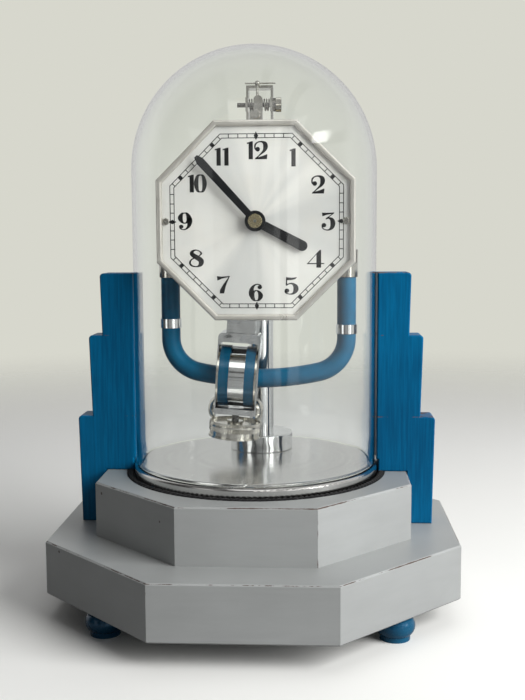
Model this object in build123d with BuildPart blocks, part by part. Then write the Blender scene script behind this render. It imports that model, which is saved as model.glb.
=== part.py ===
from build123d import *

import os
from math import atan2, cos, degrees, pi, radians, sin, sqrt

# Electric clock under a glass dome, in millimetres, +Z up, the dial facing -Y.
# The origin lies on the table under the middle of the plinth.
# The glass dome, the magnet's bend, the pendulum and the dial share the plane x = 0.

# Clearances and cuts
running_gap = 0.05  # radial, a turning shaft in its hole
seat_gap = 0.1  # radial or per side, pieces that sit in each other
free_gap = 0.35  # between pieces that move past each other
overrun = 1.0  # how far a cut runs past a face

# Octagonal wooden base
foot_height = 15.5
foot_diameter = 25.0
foot_disc_diameter = 19.0
foot_disc_height = 3.0
foot_seat_share = 0.62  # of the foot's radius, where it meets the plinth
foot_inset_x = 44.0  # from the plinth's side to the middle of a foot
foot_inset_y = 53.0
plinth_tread = 31.0  # width of the plinth's top beside the step
plinth_height = 36.0
step_shoulder = 14.5  # width of the step's top beside its recess
step_height = 36.5
wood_round = 1.0
recess_depth = 5.0

# Wood screws through the base
screw_diameter = 4.0
screw_head_diameter = 8.0
screw_head_height = 2.4
screw_slot_width = 1.0
screw_slot_depth = 1.1
foot_screw_length = 24.0
step_screw_length = 52.0
step_screw_inset_x = 38.0  # from the step's side
step_screw_inset_y = 44.0
wing_screw_length = 70.0

# Wooden wings, right-hand sizes measured out from the middle
wing_thickness = 20.0
wing_front_y = -7.0
wing_inner_gap = 0.8  # beside the glass
wing_foot_reach = 17.6  # out from the step's side, as the reaches of the tiers are
wing_outer_reach = (19.0, 10.5, 2.0)  # top corner of each tier, lowest first
wing_inner_reach = (9.0, 1.0)  # foot corner of the second and third tier
wing_tier_height = (74.5, 56.0, 42.5)  # rise of each tier, lowest first
wing_round = 2.5
wing_edge = 0.8
wing_notch_clearance = 0.6  # beside the base plate

# Turned metal base plate, cord ring and glass
glass_ledge = 1.5  # how far the base plate reaches past the glass
base_plate_height = 11.5
base_plate_round = 2.0
spigot_gap = 1.5  # between the spigot and the glass
spigot_height = 1.7
spigot_round = 0.6
cord_diameter = 4.6
cord_slack = 0.9
dial_glass_gap = 9.14  # from the dial's corners to the glass
dome_wall = 3.0
dome_height = 281.0
dome_rim_round = 1.2

# Battery in the plinth
battery_diameter = 34.2
battery_length = 61.5
battery_button_diameter = 9.5
battery_button_height = 1.6
bay_end_gap = 4.45  # room for a contact at each end of the battery
bay_side_gap = 2.9
bay_centre_y = -18.0
bay_step_depth = 6.0
cover_thickness = 3.0
cover_end_lip = 12.0  # how far the cover reaches past the bay
cover_side_lip = 10.0
cover_screw_length = 12.0
cover_screw_inset = 5.0
contact_thickness = 0.6
contact_width = 14.0
contact_height = 24.0
lead_diameter = 2.2

# Column
column_y = 34.0
stand_x = 2.2  # the column and all it carries stand this far right of the base's middle
column_diameter = 17.5
column_top_z = 256.0
drum_diameter = 45.0
drum_height = 12.2
drum_round = 1.2
stud_diameter = 8.0
nut_across = 13.0
nut_height = 6.5
washer_diameter = 22.0
washer_height = 1.6
nut_pocket_depth = 12.0
nut_pocket_room = 4.0  # round the washer, for a socket

# Yoke that carries the movement on the column
yoke_height = 14.0
yoke_hub_diameter = 24.0
yoke_cap = 2.0
yoke_arm_width = 6.0
yoke_arm_x = 24.0
yoke_bar_depth = 6.0
yoke_round = 1.0

# Pendulum, lengths measured down from its bending point
pivot_z = 346.7
rest_swing = 4.2  # degrees towards -X, as photographed
strip_width = 6.0
strip_thickness = 0.3
strip_length = 9.0
chops_length = 6.0
chops_width = 8.0
chops_thickness = 4.0
rod_diameter = 4.0
rod_end = 157.5
pin_drop = 62.0
pin_diameter = 1.2
pin_tip_y = -11.7
bob_drop = 195.0
hanger_top = 152.0
hanger_width = 19.0
hanger_depth = 14.0
hanger_round = 2.5
stirrup_top = 163.6
stirrup_bottom = 219.5
stirrup_width = 28.8
stirrup_depth = 24.0
stirrup_side = 1.0
stirrup_top_bar = 6.2
stirrup_bottom_bar = 4.0
stirrup_top_round = 3.0
stirrup_bottom_round = 1.5
coil_diameter = 42.2
coil_lift = 1.0  # the coil's middle above the magnet's line
coil_width = 24.2
coil_band_width = 10.6
coil_band_inset = 0.4
coil_band_wall = 1.0
cheek_diameter = 42.8
cheek_thickness = 1.3
bobbin_bore = 17.0
bobbin_wall = 1.0
knob_diameter = 16.0
knob_height = 4.5
knob_drop = 217.4
knob_rim = 0.8
knob_shank_diameter = 3.0
stem_diameter = 5.0
nut_wheel_diameter = 35.8
nut_wheel_height = 9.0
nut_wheel_top = 227.3
nut_wheel_rim = 1.2
nut_wheel_groove = 0.8
nut_wheel_hub_diameter = 11.0
nut_wheel_hub_height = 2.2
stem_end_inset = 0.5

# Magnet
magnet_diameter = 13.0
magnet_limb_inset = 4.5  # from the dial's side to the middle of a limb
magnet_bend_radius = 24.0
magnet_top_z = 230.4
ring_diameter = 14.6
ring_height = 6.3
ring_left_z = 190.0
ring_right_z = 186.0
clip_diameter = 15.4
clip_bottom_z = 221.5
clip_top_z = 240.0
bracket_height = 9.0
bracket_thickness = 2.5
bracket_overhang = 2.0

# Movement frame, depths along Y
plate_width = 62.0
plate_bottom_z = 226.0
plate_top_z = 320.0
plate_thickness = 2.0
plate_round = 4.0
back_plate_y = -6.0
front_plate_y = -18.0
pillar_diameter = 5.0
pillar_inset = 6.0
frame_screw_diameter = 2.4
frame_screw_head = 4.6
frame_screw_head_height = 1.2
frame_screw_reach = 4.0
frame_screw_slot = 0.6

# Dial
dial_z = 259.0
dial_across = 130.0
bezel_width = 3.8
bezel_front_y = -28.2
bezel_back_y = -23.6
bezel_round = 1.4
bezel_lip = 1.2
dial_front_y = -25.5
dial_thickness = 1.0
dial_hole_diameter = 6.4
dial_screw_head = 4.6
dial_screw_head_height = 1.4
dial_screw_diameter = 2.4
dial_screw_reach = 3.0
arm_inner_x = 20.5
arm_height = 10.0
arm_thickness = 1.5
arm_post_diameter = 6.0
arm_screw_x = 23.0

# Train behind the dial
train_module = 0.4
train_leaves = 8
train_teeth = 80
third_angle = 135.0  # from the centre arbor to the third arbor
ratchet_angle = 105.0  # from the third arbor to the ratchet arbor
wheel_thickness = 1.0
arbor_diameter = 1.8
train_pivot_diameter = 1.2
ratchet_teeth = 40
ratchet_diameter = 18.0
ratchet_tooth = 0.9
ratchet_wheel_y = -12.3
ratchet_pinion_y = -14.0
ratchet_pinion_length = 2.0
third_wheel_y = -14.8
third_pinion_y = -16.0
third_pinion_length = 1.6
centre_wheel_y = -16.3
centre_hub_y = -16.0
centre_hub_diameter = 4.0

# Motion work in front of the front plate
motion_module = 0.5
cannon_teeth = 12
minute_wheel_teeth = 36
minute_pinion_teeth = 10
hour_wheel_teeth = 40
minute_angle = -45.0
cannon_y = -20.4
cannon_length = 1.2
minute_pinion_length = 1.8
hour_wheel_y = -22.2
cannon_pipe_diameter = 3.3
hour_pipe_diameter = 5.2
minute_stud_diameter = 1.6
minute_stud_cap = 3.0
minute_stud_cap_height = 0.5

# Hands
hour_hand_y = -27.8
minute_hand_y = -29.6
hand_thickness = 0.8
hour_hand_angle = 118.0  # clockwise from twelve
minute_hand_angle = -42.5
hour_hand_inset = 27.1  # from the dial's side to the tip, as the hand points there
hour_hand_width = 5.8
hour_hand_tip_width = 6.8
minute_hand_inset = 8.4
minute_hand_width = 4.4
minute_hand_tip_width = 5.4
minute_hand_tip_length = 4.0
minute_hand_point = 2.4
hand_boss_diameter = 13.5
hand_boss_thickness = 1.4
hour_boss_diameter = 11.0
collet_diameter = 9.2
collet_thickness = 1.2
collet_pin_diameter = 0.7
collet_pin_length = 8.0
arbor_square = 1.2
arbor_tip_y = -33.2

# Contact fork and pawl
fork_z = 310.0
fork_ratio = 1.2  # fork turn per pendulum turn
fork_y = -9.5
fork_thickness = 1.5
fork_hub_diameter = 6.0
fork_arm_width = 3.0
fork_arm_length = 19.0
fork_tine_length = 31.0
fork_half_slot = 4.3
fork_tine_width = 1.2
pawl_arm_length = 9.0
pawl_pin_diameter = 1.2
pawl_thickness = 1.2
pawl_width = 1.8
pawl_gap = 0.9
pawl_boss_diameter = 3.4
pin_window_width = 24.0
pin_window_height = 9.0

# Suspension above the dial
cock_left_x = -6.9
cock_right_x = 10.9
cock_leg = 1.5
cock_top_thickness = 1.8
cock_back_y = 5.0
cock_web_thickness = 2.0
cock_web_drop = 14.0  # below the plates' top
cock_web_rise = 6.0  # above it
ear_front_y = -14.0
ear_height = 9.0
beat_y = -9.5
beat_z = 335.5
beat_screw_diameter = 3.0
beat_screw_left_x = -12.6
beat_head_diameter = 8.8
beat_head_length = 4.2
block_back_y = -6.6
block_front_y = -14.0
block_lower_half = 4.2
block_left_x = -1.6
block_right_x = 4.4
block_bottom_z = 325.6
block_shoulder_z = 331.0
block_top_z = 341.2
block_dome_radius = 2.9
clamp_screw_head = 6.0
clamp_screw_head_height = 1.6
clamp_screw_diameter = 3.0
clamp_screw_reach = 4.0
clamp_screw_z = 329.0
spring_diameter = 8.2
spring_wire = 0.9
spring_pitch = 1.55
key_x = 0.8
key_stem_diameter = 1.8
key_ball_diameter = 3.6
key_ball_z = 349.6
tommy_bar_diameter = 1.0
tommy_bar_left_x = -7.4
tommy_bar_right_x = 12.8

# Heights and places worked out from the sizes above
plinth_top_z = foot_height + plinth_height
step_top_z = plinth_top_z + step_height
recess_z = step_top_z - recess_depth
ledge_z = recess_z + base_plate_height
spigot_z = ledge_z + spigot_height
drum_top_z = spigot_z + drum_height
dial_radius = dial_across / 2
dial_screw_x = dial_radius - bezel_width - dial_screw_head / 2 - seat_gap
hour_hand_length = dial_radius - hour_hand_inset
minute_hand_length = dial_radius - minute_hand_inset
magnet_limb_x = dial_radius - magnet_limb_inset
dome_radius = dial_radius / cos(pi / 8) + dial_glass_gap + dome_wall
spigot_radius = dome_radius - dome_wall - spigot_gap
base_plate_radius = dome_radius + glass_ledge
recess_radius = base_plate_radius + cord_diameter + cord_slack
step_across = 2 * (recess_radius + step_shoulder)
plinth_across = step_across + 2 * plinth_tread
wing_foot_inner_x = step_across / 2
wing_foot_x = wing_foot_inner_x + wing_foot_reach
wing_tier_outer = [wing_foot_inner_x + reach for reach in wing_outer_reach]
wing_tier_inner = [wing_foot_inner_x + reach for reach in wing_inner_reach]
foot_x = plinth_across / 2 - foot_inset_x
foot_y = plinth_across / 2 - foot_inset_y
bay_length = battery_length + battery_button_height + 2 * bay_end_gap
bay_width = battery_diameter + 2 * bay_side_gap
cover_length = bay_length + 2 * cover_end_lip
cover_width = bay_width + 2 * cover_side_lip
step_screw_x = wing_foot_inner_x - step_screw_inset_x
step_screw_y = wing_foot_inner_x - step_screw_inset_y
dome_centre_z = ledge_z + dome_height - dome_radius
swing = radians(rest_swing)
fork_lean = radians(rest_swing * fork_ratio)
plate_half = plate_width / 2
back_plate_front_y = back_plate_y - plate_thickness
front_plate_front_y = front_plate_y - plate_thickness
dial_back_y = dial_front_y + dial_thickness
train_distance = train_module * (train_teeth + train_leaves) / 2
motion_distance = motion_module * (cannon_teeth + minute_wheel_teeth) / 2
hour_module = 2 * motion_distance / (hour_wheel_teeth + minute_pinion_teeth)
third_x = train_distance * cos(radians(third_angle))
third_z = dial_z + train_distance * sin(radians(third_angle))
ratchet_x = third_x + train_distance * cos(radians(ratchet_angle))
ratchet_z = third_z + train_distance * sin(radians(ratchet_angle))
minute_x = motion_distance * cos(radians(minute_angle))
minute_z = dial_z + motion_distance * sin(radians(minute_angle))

os.makedirs("parts", exist_ok=True)


def keep(builder, name, shift_x=0.0):
    """Moves a finished piece sideways to its place, labels it and writes it under its name."""
    placed = Pos(shift_x, 0, 0) * builder.part
    placed.label = name
    export_step(placed, f"parts/{name}.step")


def facing(y, x=0.0, z=0.0):
    """Plane parallel to the dial: local x runs right, local y up, and extruding goes to the front."""
    return Plane(origin=(x, y, z), x_dir=(1, 0, 0), z_dir=(0, -1, 0))


def sideways(x, y=0.0, z=0.0):
    """Plane across the X axis: local x runs back, local y up, and extruding goes to the right."""
    return Plane(origin=(x, y, z), x_dir=(0, 1, 0), z_dir=(1, 0, 0))


def below_pivot(drop, y=0.0):
    """Plane square to the hanging pendulum, drop below its bending point."""
    origin = (-drop * sin(swing), y, pivot_z - drop * cos(swing))
    return Plane(origin=origin, x_dir=(cos(swing), 0, -sin(swing)), z_dir=(sin(swing), 0, cos(swing)))


def beside_rod(offset, drop):
    """Plane along the pendulum and square to its swing, offset to the right of the rod."""
    hang = below_pivot(drop)
    return Plane(origin=hang.origin + hang.x_dir * offset, x_dir=(0, 1, 0), z_dir=hang.x_dir)


def before_rod(y, drop):
    """Plane of the swing: local y runs up the rod, and extruding goes to the front."""
    hang = below_pivot(drop, y)
    return Plane(origin=hang.origin, x_dir=hang.x_dir, z_dir=(0, -1, 0))


def clock_plane(y, angle, x=0.0, z=dial_z):
    """Plane parallel to the dial whose local y points to an angle clockwise from twelve."""
    turn = radians(angle)
    return Plane(origin=(x, y, z), x_dir=(cos(turn), 0, -sin(turn)), z_dir=(0, -1, 0))


def octagon(across):
    """Octagon with two sides square to each axis."""
    return RegularPolygon(radius=across / 2, side_count=8, major_radius=False, rotation=22.5)


def tooth_points(teeth, root, tip, root_share, tip_share, phase):
    """Outline of straight-sided teeth, the first one centred at the phase angle."""
    points = []
    for tooth in range(teeth):
        for share, radius in (
            (-root_share, root),
            (-tip_share, tip),
            (tip_share, tip),
            (root_share, root),
        ):
            angle = 2 * pi * (tooth + share) / teeth + phase
            points.append((radius * cos(angle), radius * sin(angle)))
    return points


# Shares of the pitch, chosen so that meshing teeth keep clear at every turn
wheel_root_share = 0.22
wheel_tip_share = 0.1
pinion_root_share = 0.2
pinion_tip_share = 0.09
tip_rise_share = 0.8
root_fall_share = 1.15


def gear_points(teeth, module, phase, root_share, tip_share):
    pitch_radius = teeth * module / 2
    return tooth_points(
        teeth,
        pitch_radius - root_fall_share * module,
        pitch_radius + tip_rise_share * module,
        root_share,
        tip_share,
        phase,
    )


def wheel_points(teeth, module, phase):
    return gear_points(teeth, module, phase, wheel_root_share, wheel_tip_share)


def pinion_points(teeth, module, phase):
    return gear_points(teeth, module, phase, pinion_root_share, pinion_tip_share)


def meeting_phase(angle, teeth):
    """Phase that puts a gap where the partner's tooth comes in, from the side given in degrees."""
    return radians(angle) + pi / teeth


def wood_screw(length):
    """Slotted countersunk screw standing point up, its head flush with z = 0."""
    with BuildPart() as screw:
        with BuildSketch(Plane.XZ):
            with BuildLine():
                Polyline(
                    (0, 0),
                    (screw_head_diameter / 2, 0),
                    (screw_diameter / 2, screw_head_height),
                    (screw_diameter / 2, length - screw_diameter),
                    (0, length),
                    close=True,
                )
            make_face()
        revolve(axis=Axis.Z)
        with BuildSketch(Plane.XY):
            Rectangle(screw_head_diameter * 2, screw_slot_width)
        extrude(amount=screw_slot_depth, mode=Mode.SUBTRACT)
    return screw.part


def wood_screw_hole(length):
    """Room for a wood screw, with its seat gap all round."""
    bore = screw_diameter / 2 + seat_gap
    with BuildPart() as hole:
        with BuildSketch(Plane.XZ):
            with BuildLine():
                Polyline(
                    (0, -overrun),
                    (screw_head_diameter / 2 + seat_gap, -overrun),
                    (screw_head_diameter / 2 + seat_gap, 0),
                    (bore, screw_head_height),
                    (bore, length + seat_gap),
                    (0, length + seat_gap),
                    close=True,
                )
            make_face()
        revolve(axis=Axis.Z)
    return hole.part


def copies(piece, places):
    """One node's group of separate solids: the same piece at each place."""
    with BuildPart() as group:
        for place in places:
            add(Pos(*place) * piece)
    return group


# Four feet and the corners they stand on
foot_places = [(sx * foot_x, sy * foot_y, 0) for sx in (-1, 1) for sy in (-1, 1)]
foot_radius = foot_diameter / 2
foot_bun_height = foot_height - foot_disc_height
foot_seat_radius = foot_radius * foot_seat_share
foot_screw_z = foot_disc_height
foot_screw_pocket = screw_head_diameter / 2 + seat_gap

with BuildPart() as one_foot:
    with BuildSketch(Plane.XZ):
        with BuildLine():
            Polyline(
                (0, foot_height),
                (0, 0),
                (foot_disc_diameter / 2, 0),
                (foot_disc_diameter / 2, foot_disc_height),
            )
            ThreePointArc(
                (foot_disc_diameter / 2, foot_disc_height),
                (foot_radius, foot_disc_height + foot_bun_height / 2),
                (foot_seat_radius, foot_height),
            )
            Line((foot_seat_radius, foot_height), (0, foot_height))
        make_face()
    revolve(axis=Axis.Z)
    with BuildSketch(Plane.XY):
        Circle(foot_screw_pocket)
    extrude(amount=foot_screw_z, mode=Mode.SUBTRACT)
    add(Pos(0, 0, foot_screw_z) * wood_screw_hole(foot_screw_length), mode=Mode.SUBTRACT)

keep(copies(one_foot.part, foot_places), "feet")
foot_screw_places = [(x, y, foot_screw_z) for x, y, z in foot_places]

# Screws that hold the step and the wings from below
step_screw_places = [(sx * step_screw_x, sy * step_screw_y, foot_height) for sx in (-1, 1) for sy in (-1, 1)]
wing_middle_y = wing_front_y + wing_thickness / 2
wing_screw_x = (wing_foot_inner_x + wing_foot_x) / 2
wing_screw_places = [(side * wing_screw_x, wing_middle_y, foot_height) for side in (-1, 1)]

# Battery cover let into the underside, and its screws
cover_screw_x = cover_length / 2 - cover_screw_inset
cover_screw_y = cover_width / 2 - cover_screw_inset
cover_screw_places = [
    (sx * cover_screw_x, bay_centre_y + sy * cover_screw_y, foot_height) for sx in (-1, 1) for sy in (-1, 1)
]
cover_top_z = foot_height + cover_thickness
with BuildPart() as battery_cover:
    with BuildSketch(Plane.XY.offset(foot_height)):
        with Locations((0, bay_centre_y)):
            RectangleRounded(cover_length, cover_width, cover_screw_inset)
    extrude(amount=cover_thickness)
    for place in cover_screw_places:
        add(Pos(*place) * wood_screw_hole(cover_screw_length), mode=Mode.SUBTRACT)
keep(battery_cover, "battery_cover")

# All the slotted wood screws of the base
screw_groups = [
    (foot_screw_length, foot_screw_places),
    (step_screw_length, step_screw_places),
    (wing_screw_length, wing_screw_places),
    (cover_screw_length, cover_screw_places),
]
with BuildPart() as wood_screws:
    for length, places in screw_groups:
        for place in places:
            add(Pos(*place) * wood_screw(length))
keep(wood_screws, "wood_screws")

# Plinth with the battery bay through it
with BuildPart() as plinth:
    with BuildSketch(Plane.XY.offset(foot_height)):
        octagon(plinth_across)
    extrude(amount=plinth_height)
    chamfer(plinth.faces().sort_by(Axis.Z)[-1].edges(), wood_round)
    chamfer(plinth.faces().sort_by(Axis.Z)[0].edges(), wood_round)
    with BuildSketch(Plane.XY.offset(foot_height)):
        with Locations((0, bay_centre_y)):
            Rectangle(bay_length, bay_width)
    extrude(amount=plinth_height, mode=Mode.SUBTRACT)
    with BuildSketch(Plane.XY.offset(foot_height)):
        with Locations((0, bay_centre_y)):
            RectangleRounded(
                cover_length + 2 * seat_gap, cover_width + 2 * seat_gap, cover_screw_inset + seat_gap
            )
    extrude(amount=cover_thickness, mode=Mode.SUBTRACT)
    with BuildSketch(Plane.XY.offset(foot_height)):
        with Locations((stand_x, column_y)):
            Circle(washer_diameter / 2 + nut_pocket_room)
    extrude(amount=plinth_height, mode=Mode.SUBTRACT)
    for place in foot_screw_places:
        add(Pos(*place) * wood_screw_hole(foot_screw_length), mode=Mode.SUBTRACT)
    for place in step_screw_places:
        add(Pos(*place) * wood_screw_hole(step_screw_length), mode=Mode.SUBTRACT)
    for place in wing_screw_places:
        add(Pos(*place) * wood_screw_hole(wing_screw_length), mode=Mode.SUBTRACT)
    for place in cover_screw_places:
        add(Pos(*place) * wood_screw_hole(cover_screw_length), mode=Mode.SUBTRACT)
keep(plinth, "plinth")

# Battery lying in the bay, its contacts and the two leads up to the base plate
battery_z = cover_top_z + seat_gap + battery_diameter / 2
lead_x = bay_length / 2 - lead_diameter
lead_foot_z = plinth_top_z + overrun
with BuildPart() as battery:
    with BuildSketch(sideways(-battery_length / 2, bay_centre_y, battery_z)):
        Circle(battery_diameter / 2)
    extrude(amount=battery_length)
    with BuildSketch(sideways(battery_length / 2, bay_centre_y, battery_z)):
        Circle(battery_button_diameter / 2)
    extrude(amount=battery_button_height)
keep(battery, "battery")

contact_outer_x = bay_length / 2
contact_touch_x = (battery_length / 2, battery_length / 2 + battery_button_height)
with BuildPart() as battery_contacts:
    for side, touch_x in zip((-1, 1), contact_touch_x):
        with BuildSketch(facing(bay_centre_y + contact_width / 2)):
            with BuildLine():
                Polyline(
                    (side * contact_outer_x, battery_z - contact_height / 2),
                    (side * contact_outer_x, lead_foot_z),
                    (side * (contact_outer_x - contact_thickness), lead_foot_z),
                    (side * (contact_outer_x - contact_thickness), battery_z + contact_height / 4),
                    (side * (touch_x + contact_thickness), battery_z),
                    (side * touch_x, battery_z),
                    (side * (contact_outer_x - contact_thickness), battery_z - contact_height / 2),
                    close=True,
                )
            make_face()
        extrude(amount=contact_width)
keep(battery_contacts, "battery_contacts")

with BuildPart() as battery_leads:
    for side in (-1, 1):
        with BuildSketch(Plane.XY.offset(lead_foot_z)):
            with Locations((side * lead_x, bay_centre_y)):
                Circle(lead_diameter / 2)
        extrude(amount=recess_z - lead_foot_z)
keep(battery_leads, "battery_leads")

# Step with its round recess for the base plate and the cord
with BuildPart() as step:
    with BuildSketch(Plane.XY.offset(plinth_top_z)):
        octagon(step_across)
    extrude(amount=step_height)
    chamfer(step.faces().sort_by(Axis.Z)[-1].edges(), wood_round)
    with BuildSketch(Plane.XY.offset(recess_z)):
        Circle(recess_radius)
    extrude(amount=recess_depth, mode=Mode.SUBTRACT)
    with BuildSketch(Plane.XY.offset(plinth_top_z)):
        with Locations((0, bay_centre_y)):
            Rectangle(bay_length, bay_width)
    extrude(amount=bay_step_depth, mode=Mode.SUBTRACT)
    with BuildSketch(Plane.XY.offset(plinth_top_z)):
        for side in (-1, 1):
            with Locations((side * lead_x, bay_centre_y)):
                Circle(lead_diameter / 2 + seat_gap)
        with Locations((stand_x, column_y)):
            Circle(stud_diameter / 2 + seat_gap)
    extrude(amount=step_height, mode=Mode.SUBTRACT)
    with BuildSketch(Plane.XY.offset(plinth_top_z)):
        with Locations((stand_x, column_y)):
            Circle(washer_diameter / 2 + nut_pocket_room)
    extrude(amount=nut_pocket_depth, mode=Mode.SUBTRACT)
    for place in step_screw_places:
        add(Pos(*place) * wood_screw_hole(step_screw_length), mode=Mode.SUBTRACT)
keep(step, "step")

# Stepped wings beside the dome, standing on the plinth and the step and notched round the base plate
wing_inner_x = dome_radius + wing_inner_gap
wing_notch_x = base_plate_radius + wing_notch_clearance
wing_notch_z = spigot_z
wing_z = [plinth_top_z]
for rise in wing_tier_height:
    wing_z.append(wing_z[-1] + rise)

for side, name in ((-1, "wing_left"), (1, "wing_right")):
    with BuildPart() as wing:
        with BuildSketch(facing(wing_front_y + wing_thickness)):
            with BuildLine():
                Polyline(
                    (side * wing_inner_x, wing_z[3]),
                    (side * wing_inner_x, wing_notch_z),
                    (side * wing_notch_x, wing_notch_z),
                    (side * wing_notch_x, step_top_z),
                    (side * wing_foot_inner_x, step_top_z),
                    (side * wing_foot_inner_x, plinth_top_z),
                    (side * wing_foot_x, plinth_top_z),
                    (side * wing_tier_outer[0], wing_z[1]),
                    (side * wing_tier_inner[0], wing_z[1]),
                    (side * wing_tier_outer[1], wing_z[2]),
                    (side * wing_tier_inner[1], wing_z[2]),
                    (side * wing_tier_outer[2], wing_z[3]),
                    close=True,
                )
            make_face()
        extrude(amount=wing_thickness)
        tier_corners = [
            edge
            for edge in wing.edges().filter_by(Axis.Y)
            for outer, height in zip(wing_tier_outer, wing_z[1:])
            if abs(edge.center().X - side * outer) < wing_edge and abs(edge.center().Z - height) < wing_edge
        ]
        fillet(tier_corners, wing_round)
        chamfer(wing.faces().sort_by(Axis.Y)[0].outer_wire().edges(), wing_edge)
        wing_screw_place = (side * wing_screw_x, wing_middle_y, foot_height)
        add(Pos(*wing_screw_place) * wood_screw_hole(wing_screw_length), mode=Mode.SUBTRACT)
    keep(wing, name)

# Turned base plate: a ledge for the glass and a low spigot inside it
with BuildPart() as base_plate:
    with BuildSketch(Plane.XY.offset(recess_z)):
        Circle(base_plate_radius)
    extrude(amount=base_plate_height)
    fillet(base_plate.faces().sort_by(Axis.Z)[-1].edges(), base_plate_round)
    with BuildSketch(Plane.XY.offset(ledge_z)):
        Circle(spigot_radius)
    extrude(amount=spigot_height)
    fillet(base_plate.faces().sort_by(Axis.Z)[-1].edges(), spigot_round)
    with BuildSketch(Plane.XY.offset(recess_z)):
        with Locations((stand_x, column_y)):
            Circle(stud_diameter / 2 + seat_gap)
    extrude(amount=base_plate_height + spigot_height, mode=Mode.SUBTRACT)
keep(base_plate, "base_plate")

# Cord ring lying in the gap round the base plate
cord_ring_radius = (recess_radius + base_plate_radius) / 2
with BuildPart() as dome_cord:
    with BuildSketch(Plane.XZ):
        with Locations((cord_ring_radius, recess_z + cord_diameter / 2)):
            Circle(cord_diameter / 2)
    revolve(axis=Axis.Z)
keep(dome_cord, "dome_cord")

# Glass dome with a round top
inner_radius = dome_radius - dome_wall
with BuildPart() as glass_dome:
    with BuildSketch(Plane.XZ):
        with BuildLine():
            Line((inner_radius, ledge_z), (dome_radius, ledge_z))
            Line((dome_radius, ledge_z), (dome_radius, dome_centre_z))
            CenterArc((0, dome_centre_z), dome_radius, 0, 90)
            Line((0, dome_centre_z + dome_radius), (0, dome_centre_z + inner_radius))
            CenterArc((0, dome_centre_z), inner_radius, 0, 90)
            Line((inner_radius, dome_centre_z), (inner_radius, ledge_z))
        make_face()
    revolve(axis=Axis.Z)
    fillet(glass_dome.edges().group_by(Axis.Z)[0], dome_rim_round)
keep(glass_dome, "glass_dome")

# Column: drum foot, rod with its stud, nut and washer in the step's pocket
stud_radius = stud_diameter / 2
pocket_roof_z = plinth_top_z + nut_pocket_depth
washer_z = pocket_roof_z - washer_height
nut_z = washer_z - nut_height
stud_bottom_z = nut_z - stud_diameter / 4
with BuildPart() as column_foot:
    with BuildSketch(Plane.XY.offset(spigot_z)):
        with Locations((0, column_y)):
            Circle(drum_diameter / 2)
    extrude(amount=drum_height)
    fillet(column_foot.faces().sort_by(Axis.Z)[-1].edges(), drum_round)
    chamfer(column_foot.faces().sort_by(Axis.Z)[0].edges(), drum_round / 2)
    with BuildSketch(Plane.XY.offset(spigot_z)):
        with Locations((0, column_y)):
            Circle(stud_radius + seat_gap)
    extrude(amount=drum_height, mode=Mode.SUBTRACT)
keep(column_foot, "column_foot", stand_x)

with BuildPart() as column:
    with BuildSketch(Plane.XY.offset(drum_top_z)):
        with Locations((0, column_y)):
            Circle(column_diameter / 2)
    extrude(amount=column_top_z - drum_top_z)
    with BuildSketch(Plane.XY.offset(stud_bottom_z)):
        with Locations((0, column_y)):
            Circle(stud_radius)
    extrude(amount=drum_top_z - stud_bottom_z)
keep(column, "column", stand_x)

with BuildPart() as column_nut:
    with BuildSketch(Plane.XY.offset(nut_z)):
        with Locations((0, column_y)):
            RegularPolygon(radius=nut_across / 2, side_count=6, major_radius=False)
            Circle(stud_radius + running_gap, mode=Mode.SUBTRACT)
    extrude(amount=nut_height)
    with BuildSketch(Plane.XY.offset(washer_z)):
        with Locations((0, column_y)):
            Circle(washer_diameter / 2)
            Circle(stud_radius + running_gap, mode=Mode.SUBTRACT)
    extrude(amount=washer_height)
keep(column_nut, "column_nut", stand_x)

# Places of the identical frame screws: x, z and the face that each head bears on
pillar_x = plate_half - pillar_inset
pillar_z = (plate_bottom_z + pillar_inset, plate_top_z - pillar_inset)
yoke_z = column_top_z + yoke_cap - yoke_height
yoke_screw_z = yoke_z + yoke_height / 2
bracket_z = clip_top_z - bracket_height
bracket_screw_x = yoke_arm_x - yoke_arm_width
bracket_screw_z = bracket_z + bracket_height / 2
cock_web_z = plate_top_z - cock_web_drop
cock_web_height = cock_web_drop + cock_web_rise
cock_screw_z = cock_web_z + cock_web_drop / 3
cock_screw_inset = cock_leg + frame_screw_head / 2 + seat_gap
cock_screw_x = (cock_left_x + cock_screw_inset, cock_right_x - cock_screw_inset)
bracket_back_y = back_plate_y + bracket_thickness
cock_web_y = back_plate_y + cock_web_thickness
pillar_places = [(sx * pillar_x, z) for sx in (-1, 1) for z in pillar_z]
rear_bracket_places = [(sx * bracket_screw_x, bracket_screw_z) for sx in (-1, 1)]
rear_cock_places = [(x, cock_screw_z) for x in cock_screw_x]
yoke_screw_places = [(sx * yoke_arm_x, yoke_screw_z) for sx in (-1, 1)]
arm_screw_z = (dial_z - arm_height / 4, dial_z + arm_height / 4)
arm_screw_places = [(sx * arm_screw_x, z) for sx in (-1, 1) for z in arm_screw_z]


def frame_screw(y, x, z, into):
    """Cheese-head screw whose head bears on the face at y and points into the frame."""
    with BuildPart() as screw:
        with BuildSketch(facing(y, x, z)):
            Circle(frame_screw_head / 2)
        extrude(amount=-into * frame_screw_head_height)
        with BuildSketch(facing(y, x, z)):
            Circle(frame_screw_diameter / 2)
        extrude(amount=into * frame_screw_reach)
        with BuildSketch(facing(y + into * frame_screw_head_height, x, z)):
            Rectangle(frame_screw_head * 2, frame_screw_slot)
        extrude(amount=into * frame_screw_head_height / 2, mode=Mode.SUBTRACT)
    return screw.part


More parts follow.
